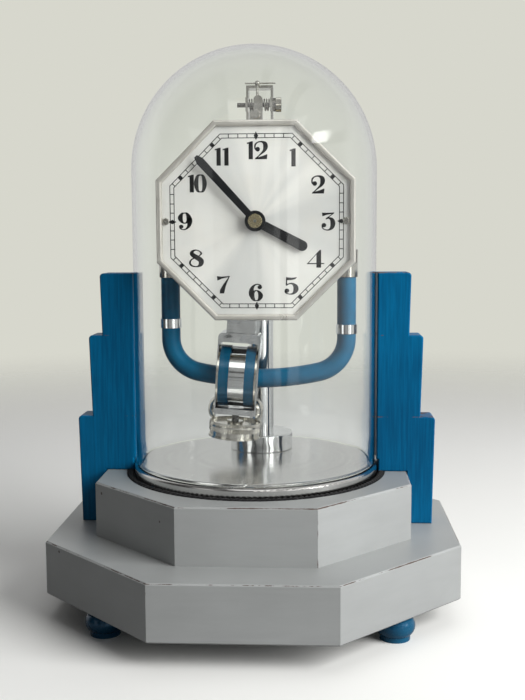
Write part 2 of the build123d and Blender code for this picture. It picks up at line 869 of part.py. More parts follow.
with BuildPart() as frame_screws:
    for x, z in pillar_places:
        add(frame_screw(back_plate_y, x, z, 1))
    for x, z in rear_bracket_places:
        add(frame_screw(bracket_back_y, x, z, 1))
    for x, z in rear_cock_places:
        add(frame_screw(cock_web_y, x, z, 1))
    for x, z in yoke_screw_places:
        add(frame_screw(back_plate_front_y, x, z, -1))
    for x, z in arm_screw_places:
        add(frame_screw(front_plate_front_y - arm_thickness, x, z, -1))
keep(frame_screws, "frame_screws", stand_x)

screw_bore = frame_screw_diameter / 2 + running_gap

# Yoke: a hub round the column's top and two arms that pass either side of the pendulum rod
yoke_bar_front_y = column_y - yoke_hub_diameter / 2 - yoke_bar_depth / 2
with BuildPart() as movement_yoke:
    with BuildSketch(Plane.XY.offset(yoke_z)):
        with Locations((0, column_y)):
            Circle(yoke_hub_diameter / 2)
        with Locations((0, yoke_bar_front_y + yoke_bar_depth / 2)):
            Rectangle(2 * yoke_arm_x + yoke_arm_width, yoke_bar_depth)
        for side in (-1, 1):
            with Locations((side * yoke_arm_x, (back_plate_y + yoke_bar_front_y) / 2)):
                Rectangle(yoke_arm_width, yoke_bar_front_y - back_plate_y)
    extrude(amount=yoke_height)
    chamfer(movement_yoke.faces().sort_by(Axis.Z)[-1].edges(), yoke_round)
    with BuildSketch(Plane.XY.offset(yoke_z)):
        with Locations((0, column_y)):
            Circle(column_diameter / 2 + seat_gap)
    extrude(amount=yoke_height - yoke_cap, mode=Mode.SUBTRACT)
    for x, z in yoke_screw_places:
        with BuildSketch(facing(back_plate_y, x, z)):
            Circle(screw_bore)
        extrude(amount=-frame_screw_reach, mode=Mode.SUBTRACT)
keep(movement_yoke, "movement_yoke", stand_x)

# Movement plates and pillars
plate_middle_z = (plate_bottom_z + plate_top_z) / 2
pivot_bore = train_pivot_diameter / 2 + running_gap
train_centres = [(0, fork_z), (third_x, third_z), (ratchet_x, ratchet_z)]
pin_window_z = pivot_z - pin_drop
with BuildPart() as back_plate:
    with BuildSketch(facing(back_plate_y)):
        with Locations((0, plate_middle_z)):
            RectangleRounded(plate_width, plate_top_z - plate_bottom_z, plate_round)
        with Locations(*pillar_places, *rear_bracket_places, *rear_cock_places, *yoke_screw_places):
            Circle(screw_bore, mode=Mode.SUBTRACT)
        with Locations(*train_centres, (0, dial_z)):
            Circle(pivot_bore, mode=Mode.SUBTRACT)
        with Locations((0, pin_window_z)):
            Rectangle(pin_window_width, pin_window_height, mode=Mode.SUBTRACT)
    extrude(amount=plate_thickness)
keep(back_plate, "back_plate", stand_x)

minute_stud_radius = minute_stud_diameter / 2
with BuildPart() as front_plate:
    with BuildSketch(facing(front_plate_y)):
        with Locations((0, plate_middle_z)):
            RectangleRounded(plate_width, plate_top_z - plate_bottom_z, plate_round)
        with Locations(*arm_screw_places):
            Circle(screw_bore, mode=Mode.SUBTRACT)
        with Locations(*train_centres):
            Circle(pivot_bore, mode=Mode.SUBTRACT)
        with Locations((0, dial_z)):
            Circle(arbor_diameter / 2 + running_gap, mode=Mode.SUBTRACT)
        with Locations((minute_x, minute_z)):
            Circle(minute_stud_radius + running_gap, mode=Mode.SUBTRACT)
    extrude(amount=plate_thickness)
keep(front_plate, "front_plate", stand_x)

with BuildPart() as pillars:
    for x, z in pillar_places:
        with BuildSketch(facing(back_plate_front_y, x, z)):
            Circle(pillar_diameter / 2)
        extrude(amount=back_plate_front_y - front_plate_y)
        with BuildSketch(facing(back_plate_y, x, z)):
            Circle(screw_bore)
        extrude(amount=frame_screw_reach + running_gap, mode=Mode.SUBTRACT)
keep(pillars, "pillars", stand_x)

# Magnet bar: two straight limbs, two bends and a bottom arc that keeps to the bob's path
magnet_radius = magnet_diameter / 2
bend_x = magnet_limb_x - magnet_bend_radius
bend_centre_z = pivot_z - sqrt((bob_drop - magnet_bend_radius) ** 2 - bend_x**2)
arc_angle = atan2(bend_x, pivot_z - bend_centre_z)
arc_end = (bob_drop * sin(arc_angle), pivot_z - bob_drop * cos(arc_angle))
bend_middle = radians(degrees(arc_angle) - 90) / 2
bend_point = (
    bend_x + magnet_bend_radius * cos(bend_middle),
    bend_centre_z + magnet_bend_radius * sin(bend_middle),
)
with BuildPart() as magnet:
    with BuildLine(facing(0)) as magnet_path:
        Line((-magnet_limb_x, magnet_top_z), (-magnet_limb_x, bend_centre_z))
        ThreePointArc(
            (-magnet_limb_x, bend_centre_z), (-bend_point[0], bend_point[1]), (-arc_end[0], arc_end[1])
        )
        ThreePointArc((-arc_end[0], arc_end[1]), (0, pivot_z - bob_drop), arc_end)
        ThreePointArc(arc_end, bend_point, (magnet_limb_x, bend_centre_z))
        Line((magnet_limb_x, bend_centre_z), (magnet_limb_x, magnet_top_z))
    with BuildSketch(Plane.XY.offset(magnet_top_z)):
        with Locations((-magnet_limb_x, 0)):
            Circle(magnet_radius)
    sweep()
keep(magnet, "magnet", stand_x)

with BuildPart() as magnet_rings:
    for side, low_z in ((-1, ring_left_z), (1, ring_right_z)):
        with BuildSketch(Plane.XY.offset(low_z - ring_height / 2)):
            with Locations((side * magnet_limb_x, 0)):
                Circle(ring_diameter / 2)
                Circle(magnet_radius + running_gap, mode=Mode.SUBTRACT)
        extrude(amount=ring_height)
keep(magnet_rings, "magnet_rings", stand_x)

# Clips over the magnet's ends, and the bar between them behind the back plate
clip_roof_z = magnet_top_z + running_gap
bracket_half = magnet_limb_x + bracket_overhang
with BuildPart() as magnet_clips:
    for side in (-1, 1):
        with BuildSketch(Plane.XY.offset(clip_bottom_z)):
            with Locations((side * magnet_limb_x, 0)):
                Circle(clip_diameter / 2)
        extrude(amount=clip_top_z - clip_bottom_z)
        with BuildSketch(Plane.XY.offset(clip_bottom_z)):
            with Locations((side * magnet_limb_x, 0)):
                Circle(magnet_radius + running_gap)
        extrude(amount=clip_roof_z - clip_bottom_z, mode=Mode.SUBTRACT)
    with BuildSketch(facing(bracket_back_y)):
        with Locations((0, bracket_z + bracket_height / 2)):
            Rectangle(2 * bracket_half + clip_diameter, bracket_height)
    extrude(amount=clip_diameter, mode=Mode.SUBTRACT)
keep(magnet_clips, "magnet_clips", stand_x)

with BuildPart() as magnet_bracket:
    with BuildSketch(facing(bracket_back_y)):
        with Locations((0, bracket_z + bracket_height / 2)):
            Rectangle(2 * bracket_half, bracket_height)
        with Locations(*rear_bracket_places):
            Circle(screw_bore, mode=Mode.SUBTRACT)
        with Locations(*pillar_places):
            Circle(frame_screw_head / 2 + seat_gap, mode=Mode.SUBTRACT)
    extrude(amount=bracket_thickness)
keep(magnet_bracket, "magnet_bracket", stand_x)

# Dial: plate, bezel with a lip behind it, carrying arms and screws
bezel_inner = dial_across - 2 * bezel_width
dial_screw_places = [(-dial_screw_x, 0), (dial_screw_x, 0)]
with BuildPart() as dial_plate:
    with BuildSketch(facing(dial_back_y, 0, dial_z)):
        octagon(bezel_inner - 2 * seat_gap)
        Circle(dial_hole_diameter / 2, mode=Mode.SUBTRACT)
        with Locations(*dial_screw_places):
            Circle(dial_screw_diameter / 2 + seat_gap, mode=Mode.SUBTRACT)
    extrude(amount=dial_thickness)
keep(dial_plate, "dial_plate", stand_x)

with BuildPart() as dial_bezel:
    with BuildSketch(facing(bezel_back_y, 0, dial_z)):
        octagon(dial_across)
    extrude(amount=bezel_back_y - bezel_front_y)
    with BuildSketch(facing(dial_back_y, 0, dial_z)):
        octagon(bezel_inner)
    extrude(amount=dial_back_y - bezel_front_y, mode=Mode.SUBTRACT)
    fillet(dial_bezel.faces().sort_by(Axis.Y)[0].edges(), bezel_round)
    with BuildSketch(facing(bezel_back_y, 0, dial_z)):
        octagon(bezel_inner - 2 * bezel_lip)
        with Locations(*dial_screw_places):
            Circle(arm_post_diameter / 2 + seat_gap)
    extrude(amount=bezel_back_y - dial_back_y, mode=Mode.SUBTRACT)
keep(dial_bezel, "dial_bezel", stand_x)

arm_outer_x = dial_screw_x + arm_post_diameter / 2
arm_length = arm_outer_x - arm_inner_x
arm_front_y = front_plate_front_y - arm_thickness
dial_screw_bore = dial_screw_diameter / 2 + running_gap
with BuildPart() as dial_arms:
    for side in (-1, 1):
        with BuildSketch(facing(front_plate_front_y)):
            with Locations((side * (arm_inner_x + arm_length / 2), dial_z)):
                Rectangle(arm_length, arm_height)
        extrude(amount=arm_thickness)
        with BuildSketch(facing(arm_front_y, side * dial_screw_x, dial_z)):
            Circle(arm_post_diameter / 2)
        extrude(amount=arm_front_y - dial_back_y)
        with BuildSketch(facing(dial_back_y, side * dial_screw_x, dial_z)):
            Circle(dial_screw_bore)
        extrude(amount=-dial_screw_reach, mode=Mode.SUBTRACT)
    with BuildSketch(facing(front_plate_front_y)):
        with Locations(*arm_screw_places):
            Circle(screw_bore)
    extrude(amount=arm_thickness, mode=Mode.SUBTRACT)
keep(dial_arms, "dial_arms", stand_x)

with BuildPart() as dial_screws:
    for side in (-1, 1):
        with BuildSketch(facing(dial_front_y, side * dial_screw_x, dial_z)):
            Circle(dial_screw_head / 2)
        extrude(amount=dial_screw_head_height)
    fillet(dial_screws.faces().sort_by(Axis.Y)[0:2].edges(), dial_screw_head_height / 2)
    for side in (-1, 1):
        with BuildSketch(facing(dial_front_y, side * dial_screw_x, dial_z)):
            Circle(dial_screw_diameter / 2)
        extrude(amount=-(dial_thickness + dial_screw_reach - running_gap))
        with BuildSketch(facing(dial_front_y - dial_screw_head_height, side * dial_screw_x, dial_z)):
            Rectangle(frame_screw_slot, dial_screw_head * 2)
        extrude(amount=-dial_screw_head_height / 2, mode=Mode.SUBTRACT)
keep(dial_screws, "dial_screws", stand_x)


def disc(y, length, diameter, x, z):
    """Round boss from the depth y towards the front."""
    with BuildPart() as boss:
        with BuildSketch(facing(y, x, z)):
            Circle(diameter / 2)
        extrude(amount=length)
    return boss.part


def toothed(y, length, points, x, z):
    """Toothed rim from the depth y towards the front."""
    with BuildPart() as rim:
        with BuildSketch(facing(y, x, z)):
            with BuildLine():
                Polyline(*points, close=True)
            make_face()
        extrude(amount=length)
    return rim.part


def pivots(x, z, back_y, front_y):
    """Arbor between the plates, with a thinner pivot at each end that runs in its plate."""
    with BuildPart() as arbor:
        add(disc(back_y, back_y - front_y, arbor_diameter, x, z))
        add(disc(back_plate_y, back_plate_y - back_y, train_pivot_diameter, x, z))
        add(disc(front_y, front_y - front_plate_front_y, train_pivot_diameter, x, z))
    return arbor.part


# Arbors stop short of the plates by the running clearance
arbor_back_y = back_plate_front_y - running_gap
arbor_front_y = front_plate_y + running_gap

# Ratchet wheel, turned one tooth by the pawl at each full swing
with BuildPart() as ratchet_wheel:
    add(pivots(ratchet_x, ratchet_z, arbor_back_y, arbor_front_y))
    ratchet_points = []
    for tooth in range(ratchet_teeth):
        angle = 2 * pi * tooth / ratchet_teeth
        for radius in (ratchet_diameter / 2 - ratchet_tooth, ratchet_diameter / 2):
            ratchet_points.append((radius * cos(angle), radius * sin(angle)))
    add(toothed(ratchet_wheel_y, wheel_thickness, ratchet_points, ratchet_x, ratchet_z))
    leaf_points = pinion_points(train_leaves, train_module, radians(ratchet_angle + 180))
    add(toothed(ratchet_pinion_y, ratchet_pinion_length, leaf_points, ratchet_x, ratchet_z))
keep(ratchet_wheel, "ratchet_wheel", stand_x)

# Third wheel: driven by the ratchet pinion, its own pinion drives the centre wheel
with BuildPart() as third_wheel:
    add(pivots(third_x, third_z, arbor_back_y, arbor_front_y))
    third_phase = meeting_phase(ratchet_angle, train_teeth)
    third_points = wheel_points(train_teeth, train_module, third_phase)
    add(toothed(third_wheel_y, wheel_thickness, third_points, third_x, third_z))
    leaf_points = pinion_points(train_leaves, train_module, radians(third_angle + 180))
    add(toothed(third_pinion_y, third_pinion_length, leaf_points, third_x, third_z))
keep(third_wheel, "third_wheel", stand_x)

# Centre wheel on a tube that slips on the centre arbor when the hands are set
arbor_bore = arbor_diameter + 2 * running_gap
with BuildPart() as centre_wheel:
    add(disc(centre_hub_y, centre_hub_y - arbor_front_y, centre_hub_diameter, 0, dial_z))
    centre_phase = meeting_phase(third_angle, train_teeth)
    centre_points = wheel_points(train_teeth, train_module, centre_phase)
    add(toothed(centre_wheel_y, wheel_thickness, centre_points, 0, dial_z))
    add(disc(centre_hub_y, centre_hub_y - arbor_front_y, arbor_bore, 0, dial_z), mode=Mode.SUBTRACT)
keep(centre_wheel, "centre_wheel", stand_x)

# Centre arbor, pivoted in the back plate, with a squared front end
minute_hand_front_y = minute_hand_y - hand_boss_thickness
collet_front_y = minute_hand_front_y - collet_thickness
with BuildPart() as centre_arbor:
    add(disc(arbor_back_y, arbor_back_y - collet_front_y, arbor_diameter, 0, dial_z))
    add(disc(back_plate_y, back_plate_y - arbor_back_y, train_pivot_diameter, 0, dial_z))
    with BuildSketch(clock_plane(collet_front_y, minute_hand_angle)):
        Rectangle(arbor_square, arbor_square)
    extrude(amount=collet_front_y - arbor_tip_y)
keep(centre_arbor, "centre_arbor", stand_x)

# Motion work: cannon pinion, minute wheel on its stud, hour wheel
with BuildPart() as cannon_pinion:
    cannon_points = pinion_points(cannon_teeth, motion_module, radians(minute_angle))
    add(toothed(cannon_y, cannon_length, cannon_points, 0, dial_z))
    add(disc(cannon_y, cannon_y - minute_hand_y, cannon_pipe_diameter, 0, dial_z))
    add(disc(cannon_y, cannon_y - minute_hand_y, arbor_bore, 0, dial_z), mode=Mode.SUBTRACT)
keep(cannon_pinion, "cannon_pinion", stand_x)

minute_stud_length = front_plate_front_y - cannon_y + cannon_length + minute_pinion_length + running_gap
with BuildPart() as minute_stud:
    add(disc(front_plate_y, plate_thickness + minute_stud_length, minute_stud_diameter, minute_x, minute_z))
    stud_cap_y = front_plate_front_y - minute_stud_length
    add(disc(stud_cap_y, minute_stud_cap_height, minute_stud_cap, minute_x, minute_z))
keep(minute_stud, "minute_stud", stand_x)

with BuildPart() as minute_wheel:
    minute_phase = meeting_phase(minute_angle + 180, minute_wheel_teeth)
    minute_points = wheel_points(minute_wheel_teeth, motion_module, minute_phase)
    add(toothed(cannon_y, cannon_length, minute_points, minute_x, minute_z))
    leaf_points = pinion_points(minute_pinion_teeth, hour_module, radians(minute_angle + 180))
    add(toothed(cannon_y - cannon_length, minute_pinion_length, leaf_points, minute_x, minute_z))
    bore_length = cannon_length + minute_pinion_length
    stud_bore = minute_stud_diameter + 2 * running_gap
    add(disc(cannon_y, bore_length, stud_bore, minute_x, minute_z), mode=Mode.SUBTRACT)
keep(minute_wheel, "minute_wheel", stand_x)

cannon_bore = cannon_pipe_diameter + 2 * running_gap
with BuildPart() as hour_wheel:
    hour_points = wheel_points(hour_wheel_teeth, hour_module, meeting_phase(minute_angle, hour_wheel_teeth))
    add(toothed(hour_wheel_y, wheel_thickness, hour_points, 0, dial_z))
    hour_pipe_length = hour_wheel_y - hour_hand_y + hand_thickness
    add(disc(hour_wheel_y, hour_pipe_length, hour_pipe_diameter, 0, dial_z))
    add(disc(hour_wheel_y, hour_pipe_length, cannon_bore, 0, dial_z), mode=Mode.SUBTRACT)
keep(hour_wheel, "hour_wheel", stand_x)

# Hands and the collet with its cross pin
hour_tip_middle = hour_hand_length - hour_hand_tip_width / 2
with BuildPart() as hour_hand:
    with BuildSketch(clock_plane(hour_hand_y, hour_hand_angle)):
        with BuildLine():
            Polyline(
                (-hour_hand_width / 2, 0),
                (-hour_hand_tip_width / 2, hour_tip_middle),
                (hour_hand_tip_width / 2, hour_tip_middle),
                (hour_hand_width / 2, 0),
                close=True,
            )
        make_face()
        with Locations((0, hour_tip_middle)):
            Circle(hour_hand_tip_width / 2)
        Circle(hour_boss_diameter / 2)
        Circle(hour_pipe_diameter / 2 + running_gap, mode=Mode.SUBTRACT)
    extrude(amount=hand_thickness)
keep(hour_hand, "hour_hand", stand_x)

minute_shoulder = minute_hand_length - minute_hand_tip_length
with BuildPart() as minute_hand:
    with BuildSketch(clock_plane(minute_hand_y, minute_hand_angle)):
        with BuildLine():
            Polyline(
                (-minute_hand_width / 2, 0),
                (-minute_hand_tip_width / 2, minute_shoulder),
                (-minute_hand_point / 2, minute_hand_length),
                (minute_hand_point / 2, minute_hand_length),
                (minute_hand_tip_width / 2, minute_shoulder),
                (minute_hand_width / 2, 0),
                close=True,
            )
        make_face()
        Circle(hand_boss_diameter / 2)
    extrude(amount=hand_thickness)
    add(disc(minute_hand_y, hand_boss_thickness, hand_boss_diameter, 0, dial_z))
    add(disc(minute_hand_y, hand_boss_thickness, arbor_bore, 0, dial_z), mode=Mode.SUBTRACT)
keep(minute_hand, "minute_hand", stand_x)

with BuildPart() as hand_collet:
    add(disc(minute_hand_front_y, collet_thickness, collet_diameter, 0, dial_z))
    fillet(hand_collet.faces().sort_by(Axis.Y)[0].edges(), collet_thickness / 4)
    add(disc(minute_hand_front_y, collet_thickness, arbor_bore, 0, dial_z), mode=Mode.SUBTRACT)
    with BuildSketch(clock_plane(collet_front_y, minute_hand_angle)):
        with Locations((collet_pin_length / 2 + arbor_square, 0), (-collet_pin_length / 2 - arbor_square, 0)):
            Rectangle(collet_pin_length, collet_pin_diameter)
        Circle(collet_diameter / 2, mode=Mode.INTERSECT)
    extrude(amount=collet_pin_diameter / 2)
keep(hand_collet, "hand_collet", stand_x)

# Contact fork on its arbor, with the arm that carries the pawl
pawl_x = -pawl_arm_length * cos(fork_lean)
pawl_z = fork_z + pawl_arm_length * sin(fork_lean)
fork_plane = Plane(
    origin=(0, fork_y, fork_z), x_dir=(cos(fork_lean), 0, -sin(fork_lean)), z_dir=(0, -1, 0)
)
tine_outer = fork_half_slot + fork_tine_width
with BuildPart() as contact_fork:
    add(pivots(0, fork_z, arbor_back_y, arbor_front_y))
    with BuildSketch(fork_plane):
        Circle(fork_hub_diameter / 2)
        with Locations((0, -fork_arm_length / 2)):
            Rectangle(fork_arm_width, fork_arm_length)
        with Locations((0, -(fork_arm_length + fork_tine_length) / 2)):
            Rectangle(2 * tine_outer, fork_tine_length - fork_arm_length)
        slot_top = fork_arm_length + fork_tine_width
        with Locations((0, -(slot_top + fork_tine_length + overrun) / 2)):
            Rectangle(2 * fork_half_slot, fork_tine_length - slot_top + overrun, mode=Mode.SUBTRACT)
        with Locations((-pawl_arm_length / 2, 0)):
            Rectangle(pawl_arm_length, fork_arm_width)
        with Locations((-pawl_arm_length, 0)):
            Circle(pawl_boss_diameter / 2)
    extrude(amount=fork_thickness)
    pawl_pin_length = fork_y - ratchet_wheel_y + pawl_thickness
    add(disc(fork_y, pawl_pin_length, pawl_pin_diameter, pawl_x, pawl_z))
keep(contact_fork, "contact_fork", stand_x)

# Pawl hanging from the fork's arm, its tip just clear of the ratchet wheel's right flank
pawl_tip_x = ratchet_x + ratchet_diameter / 2 + pawl_gap
pawl_tip_z = ratchet_z
with BuildPart() as pawl:
    with BuildSketch(facing(ratchet_wheel_y)):
        with Locations((pawl_x, pawl_z)):
            Circle(pawl_boss_diameter / 2)
        with BuildLine():
            Polyline(
                (pawl_x - pawl_width / 2, pawl_z),
                (pawl_tip_x, pawl_tip_z),
                (pawl_tip_x + pawl_width, pawl_tip_z + pawl_width / 2),
                (pawl_x + pawl_width / 2, pawl_z),
                close=True,
            )
        make_face()
        with Locations((pawl_x, pawl_z)):
            Circle(pawl_pin_diameter / 2 + running_gap, mode=Mode.SUBTRACT)
    extrude(amount=pawl_thickness)
keep(pawl, "pawl", stand_x)

# Suspension cock: two legs under a top plate, a web screwed behind the back plate, two ears in front
cock_width = cock_right_x - cock_left_x
cock_middle_x = (cock_left_x + cock_right_x) / 2
cock_top_z = pivot_z + strip_thickness + cock_top_thickness
ear_z = beat_z - ear_height / 2
beat_bore = beat_screw_diameter / 2 + running_gap
cock_leg_z = plate_top_z + cock_leg
with BuildPart() as suspension_cock:
    with BuildSketch(facing(cock_back_y)):
        with Locations((cock_middle_x, (cock_leg_z + cock_top_z) / 2)):
            Rectangle(cock_width, cock_top_z - cock_leg_z)
        with Locations((cock_middle_x, (cock_leg_z + cock_top_z) / 2 - cock_top_thickness)):
            Rectangle(cock_width - 2 * cock_leg, cock_top_z - cock_leg_z, mode=Mode.SUBTRACT)
    extrude(amount=cock_back_y - back_plate_y)
    with BuildSketch(facing(cock_web_y)):
        with Locations((cock_middle_x, cock_web_z + cock_web_height / 2)):
            Rectangle(cock_width, cock_web_height)
        with Locations(*rear_cock_places):
            Circle(screw_bore, mode=Mode.SUBTRACT)
    extrude(amount=cock_web_thickness)
    with BuildSketch(facing(back_plate_y)):
        for low_x in (cock_left_x, cock_right_x - cock_leg):
            with Locations((low_x + cock_leg / 2, beat_z)):
                Rectangle(cock_leg, ear_height)
    extrude(amount=back_plate_y - ear_front_y)
    with BuildSketch(sideways(cock_left_x, beat_y, beat_z)):
        Circle(beat_bore)
    extrude(amount=cock_width, mode=Mode.SUBTRACT)
keep(suspension_cock, "suspension_cock", stand_x)

# Beat block on the beat screw, with a rounded head and a clamp screw in front
block_depth = block_back_y - block_front_y
block_middle_x = (block_left_x + block_right_x) / 2
key_bottom_z = beat_z + beat_screw_diameter / 2 + free_gap
with BuildPart() as beat_block:
    with BuildSketch(facing(block_back_y)):
        with Locations((0, (block_bottom_z + block_shoulder_z) / 2)):
            Rectangle(2 * block_lower_half, block_shoulder_z - block_bottom_z)
        with Locations((block_middle_x, (block_shoulder_z + block_top_z) / 2)):
            Rectangle(block_right_x - block_left_x, block_top_z - block_shoulder_z)
    extrude(amount=block_depth)
    fillet(beat_block.faces().sort_by(Axis.Z)[-1].edges().filter_by(Axis.Y), block_dome_radius)
    with BuildSketch(sideways(cock_left_x, beat_y, beat_z)):
        Circle(beat_bore)
    extrude(amount=cock_width, mode=Mode.SUBTRACT)
    with BuildSketch(facing(block_front_y, 0, clamp_screw_z)):
        Circle(clamp_screw_diameter / 2 + running_gap)
    extrude(amount=-(clamp_screw_reach + running_gap), mode=Mode.SUBTRACT)
    with BuildSketch(Plane.XY.offset(key_bottom_z)):
        with Locations((key_x, beat_y)):
            Circle(key_stem_diameter / 2 + running_gap)
    extrude(amount=block_top_z - key_bottom_z + overrun, mode=Mode.SUBTRACT)
keep(beat_block, "beat_block", stand_x)

with BuildPart() as clamp_screw:
    add(disc(block_front_y, clamp_screw_head_height, clamp_screw_head, 0, clamp_screw_z))
    fillet(clamp_screw.faces().sort_by(Axis.Y)[0].edges(), clamp_screw_head_height / 3)
    add(disc(block_front_y, -clamp_screw_reach, clamp_screw_diameter, 0, clamp_screw_z))
    with BuildSketch(facing(block_front_y - clamp_screw_head_height, 0, clamp_screw_z)):
        Rectangle(clamp_screw_head * 2, screw_slot_width)
    extrude(amount=-clamp_screw_head_height / 2, mode=Mode.SUBTRACT)
keep(clamp_screw, "clamp_screw", stand_x)

# Beat screw with its knurled head outside the right ear
beat_head_x = cock_right_x + seat_gap
with BuildPart() as beat_screw:
    with BuildSketch(sideways(beat_screw_left_x, beat_y, beat_z)):
        Circle(beat_screw_diameter / 2)
    extrude(amount=beat_head_x - beat_screw_left_x)
    with BuildSketch(sideways(beat_head_x, beat_y, beat_z)):
        Circle(beat_head_diameter / 2)
    extrude(amount=beat_head_length)
    chamfer(beat_screw.faces().sort_by(Axis.X)[-1].edges(), beat_head_length / 8)
keep(beat_screw, "beat_screw", stand_x)


def spring_point(turn, start_x, pitch, radius):
    """Place and direction of a helix about the beat screw, after some turns."""
    angle = 2 * pi * turn
    place = Vector(start_x + pitch * turn, beat_y + radius * cos(angle), beat_z + radius * sin(angle))
    course = Vector(pitch / (2 * pi), -radius * sin(angle), radius * cos(angle)).normalized()
    return place, course


def spring_wire_path(start_x, pitch, radius, quarters):
    """Biarcs of a quarter turn along the helix, with a straight wire diameter at each end."""
    places = [spring_point(quarter / 4, start_x, pitch, radius) for quarter in range(quarters + 1)]
    first_place, first_course = places[0]
    Line(first_place - first_course * spring_wire, first_place)
    for (begin, begin_course), (end, end_course) in zip(places, places[1:]):
        chord = end - begin
        turn = 1 - begin_course.dot(end_course)
        along = chord.dot(begin_course + end_course)
        reach = (sqrt(along**2 + 2 * turn * chord.dot(chord)) - along) / (2 * turn)
        middle = (begin + end + (begin_course - end_course) * reach) * (1 / 2)
        middle_course = (end - end_course * reach) - (begin + begin_course * reach)
        TangentArc(begin, middle, tangent=begin_course)
        TangentArc(middle, end, tangent=middle_course)
    last_place, last_course = places[-1]
    Line(last_place, last_place + last_course * spring_wire)


# Two coil springs on the beat screw, between the block and the cock's ears
spring_radius = (spring_diameter - spring_wire) / 2
spring_seat = spring_wire / 2 + seat_gap
spring_spans = [
    (cock_left_x + cock_leg + spring_seat, block_left_x - spring_seat),
    (block_right_x + spring_seat, cock_right_x - cock_leg - spring_seat),
]
spring_group = []
for start_x, end_x in spring_spans:
    quarters = max(4, round(4 * (end_x - start_x) / spring_pitch))
    pitch = 4 * (end_x - start_x) / quarters
    print("spring quarters", quarters, "pitch", round(pitch, 3), "gap", round(pitch - spring_wire, 3))
    with BuildPart() as spring:
        with BuildLine():
            spring_wire_path(start_x, pitch, spring_radius, quarters)
        begin, course = spring_point(0, start_x, pitch, spring_radius)
        with BuildSketch(Plane(origin=begin - course * spring_wire, z_dir=course)):
            Circle(spring_wire / 2)
        sweep()
    spring_group.append(spring.part)
with BuildPart() as beat_springs:
    for piece in spring_group:
        add(piece)
keep(beat_springs, "beat_springs", stand_x)

# Key: stem with a ball, and the tommy bar through the ball
with BuildPart() as suspension_key:
    with BuildSketch(Plane.XY.offset(key_bottom_z + running_gap)):
        with Locations((key_x, beat_y)):
            Circle(key_stem_diameter / 2)
    extrude(amount=key_ball_z - key_bottom_z)
    with Locations((key_x, beat_y, key_ball_z)):
        Sphere(key_ball_diameter / 2)
    tommy_bore = tommy_bar_diameter / 2 + running_gap
    with BuildSketch(sideways(tommy_bar_left_x, beat_y, key_ball_z)):
        Circle(tommy_bore)
    extrude(amount=tommy_bar_right_x - tommy_bar_left_x, mode=Mode.SUBTRACT)
    with BuildSketch(sideways(tommy_bar_left_x, beat_y, key_ball_z)):
        Circle(tommy_bar_diameter / 2)
    extrude(amount=tommy_bar_right_x - tommy_bar_left_x)
keep(suspension_key, "suspension_key", stand_x)

# Pendulum: strip, chops, rod and contact pin
chops_drop = strip_thickness + strip_length
rod_drop = chops_drop + chops_length
with BuildPart() as suspension_strip:
    with BuildSketch(below_pivot(chops_drop)):
        Rectangle(strip_thickness, strip_width)
    extrude(amount=strip_length)
keep(suspension_strip, "suspension_strip", stand_x)

with BuildPart() as suspension_chops:
    with BuildSketch(below_pivot(rod_drop)):
        Rectangle(chops_thickness, chops_width)
    extrude(amount=chops_length)
    chamfer(suspension_chops.edges().filter_by(Axis.Y), chops_thickness / 8)
keep(suspension_chops, "suspension_chops", stand_x)

with BuildPart() as pendulum_rod:
    with BuildSketch(below_pivot(rod_end)):
        Circle(rod_diameter / 2)
    extrude(amount=rod_end - rod_drop)
    with BuildSketch(before_rod(rod_diameter / 4, pin_drop)):
        Circle(pin_diameter / 2 + running_gap)
    extrude(amount=rod_diameter, mode=Mode.SUBTRACT)
keep(pendulum_rod, "pendulum_rod", stand_x)

with BuildPart() as contact_pin:
    with BuildSketch(before_rod(rod_diameter / 4, pin_drop)):
        Circle(pin_diameter / 2)
    extrude(amount=rod_diameter / 4 - pin_tip_y)
keep(contact_pin, "contact_pin", stand_x)

# Hanger head on the rod's end
with BuildPart() as bob_hanger:
    with BuildSketch(below_pivot(stirrup_top)):
        Rectangle(hanger_width, hanger_depth)
    extrude(amount=stirrup_top - hanger_top)
    fillet(bob_hanger.faces().sort_by(Axis.Z)[-1].edges(), hanger_round)
    with BuildSketch(below_pivot(hanger_top)):
        Circle(rod_diameter / 2 + running_gap)
    extrude(amount=hanger_top - rod_end, mode=Mode.SUBTRACT)
keep(bob_hanger, "bob_hanger", stand_x)

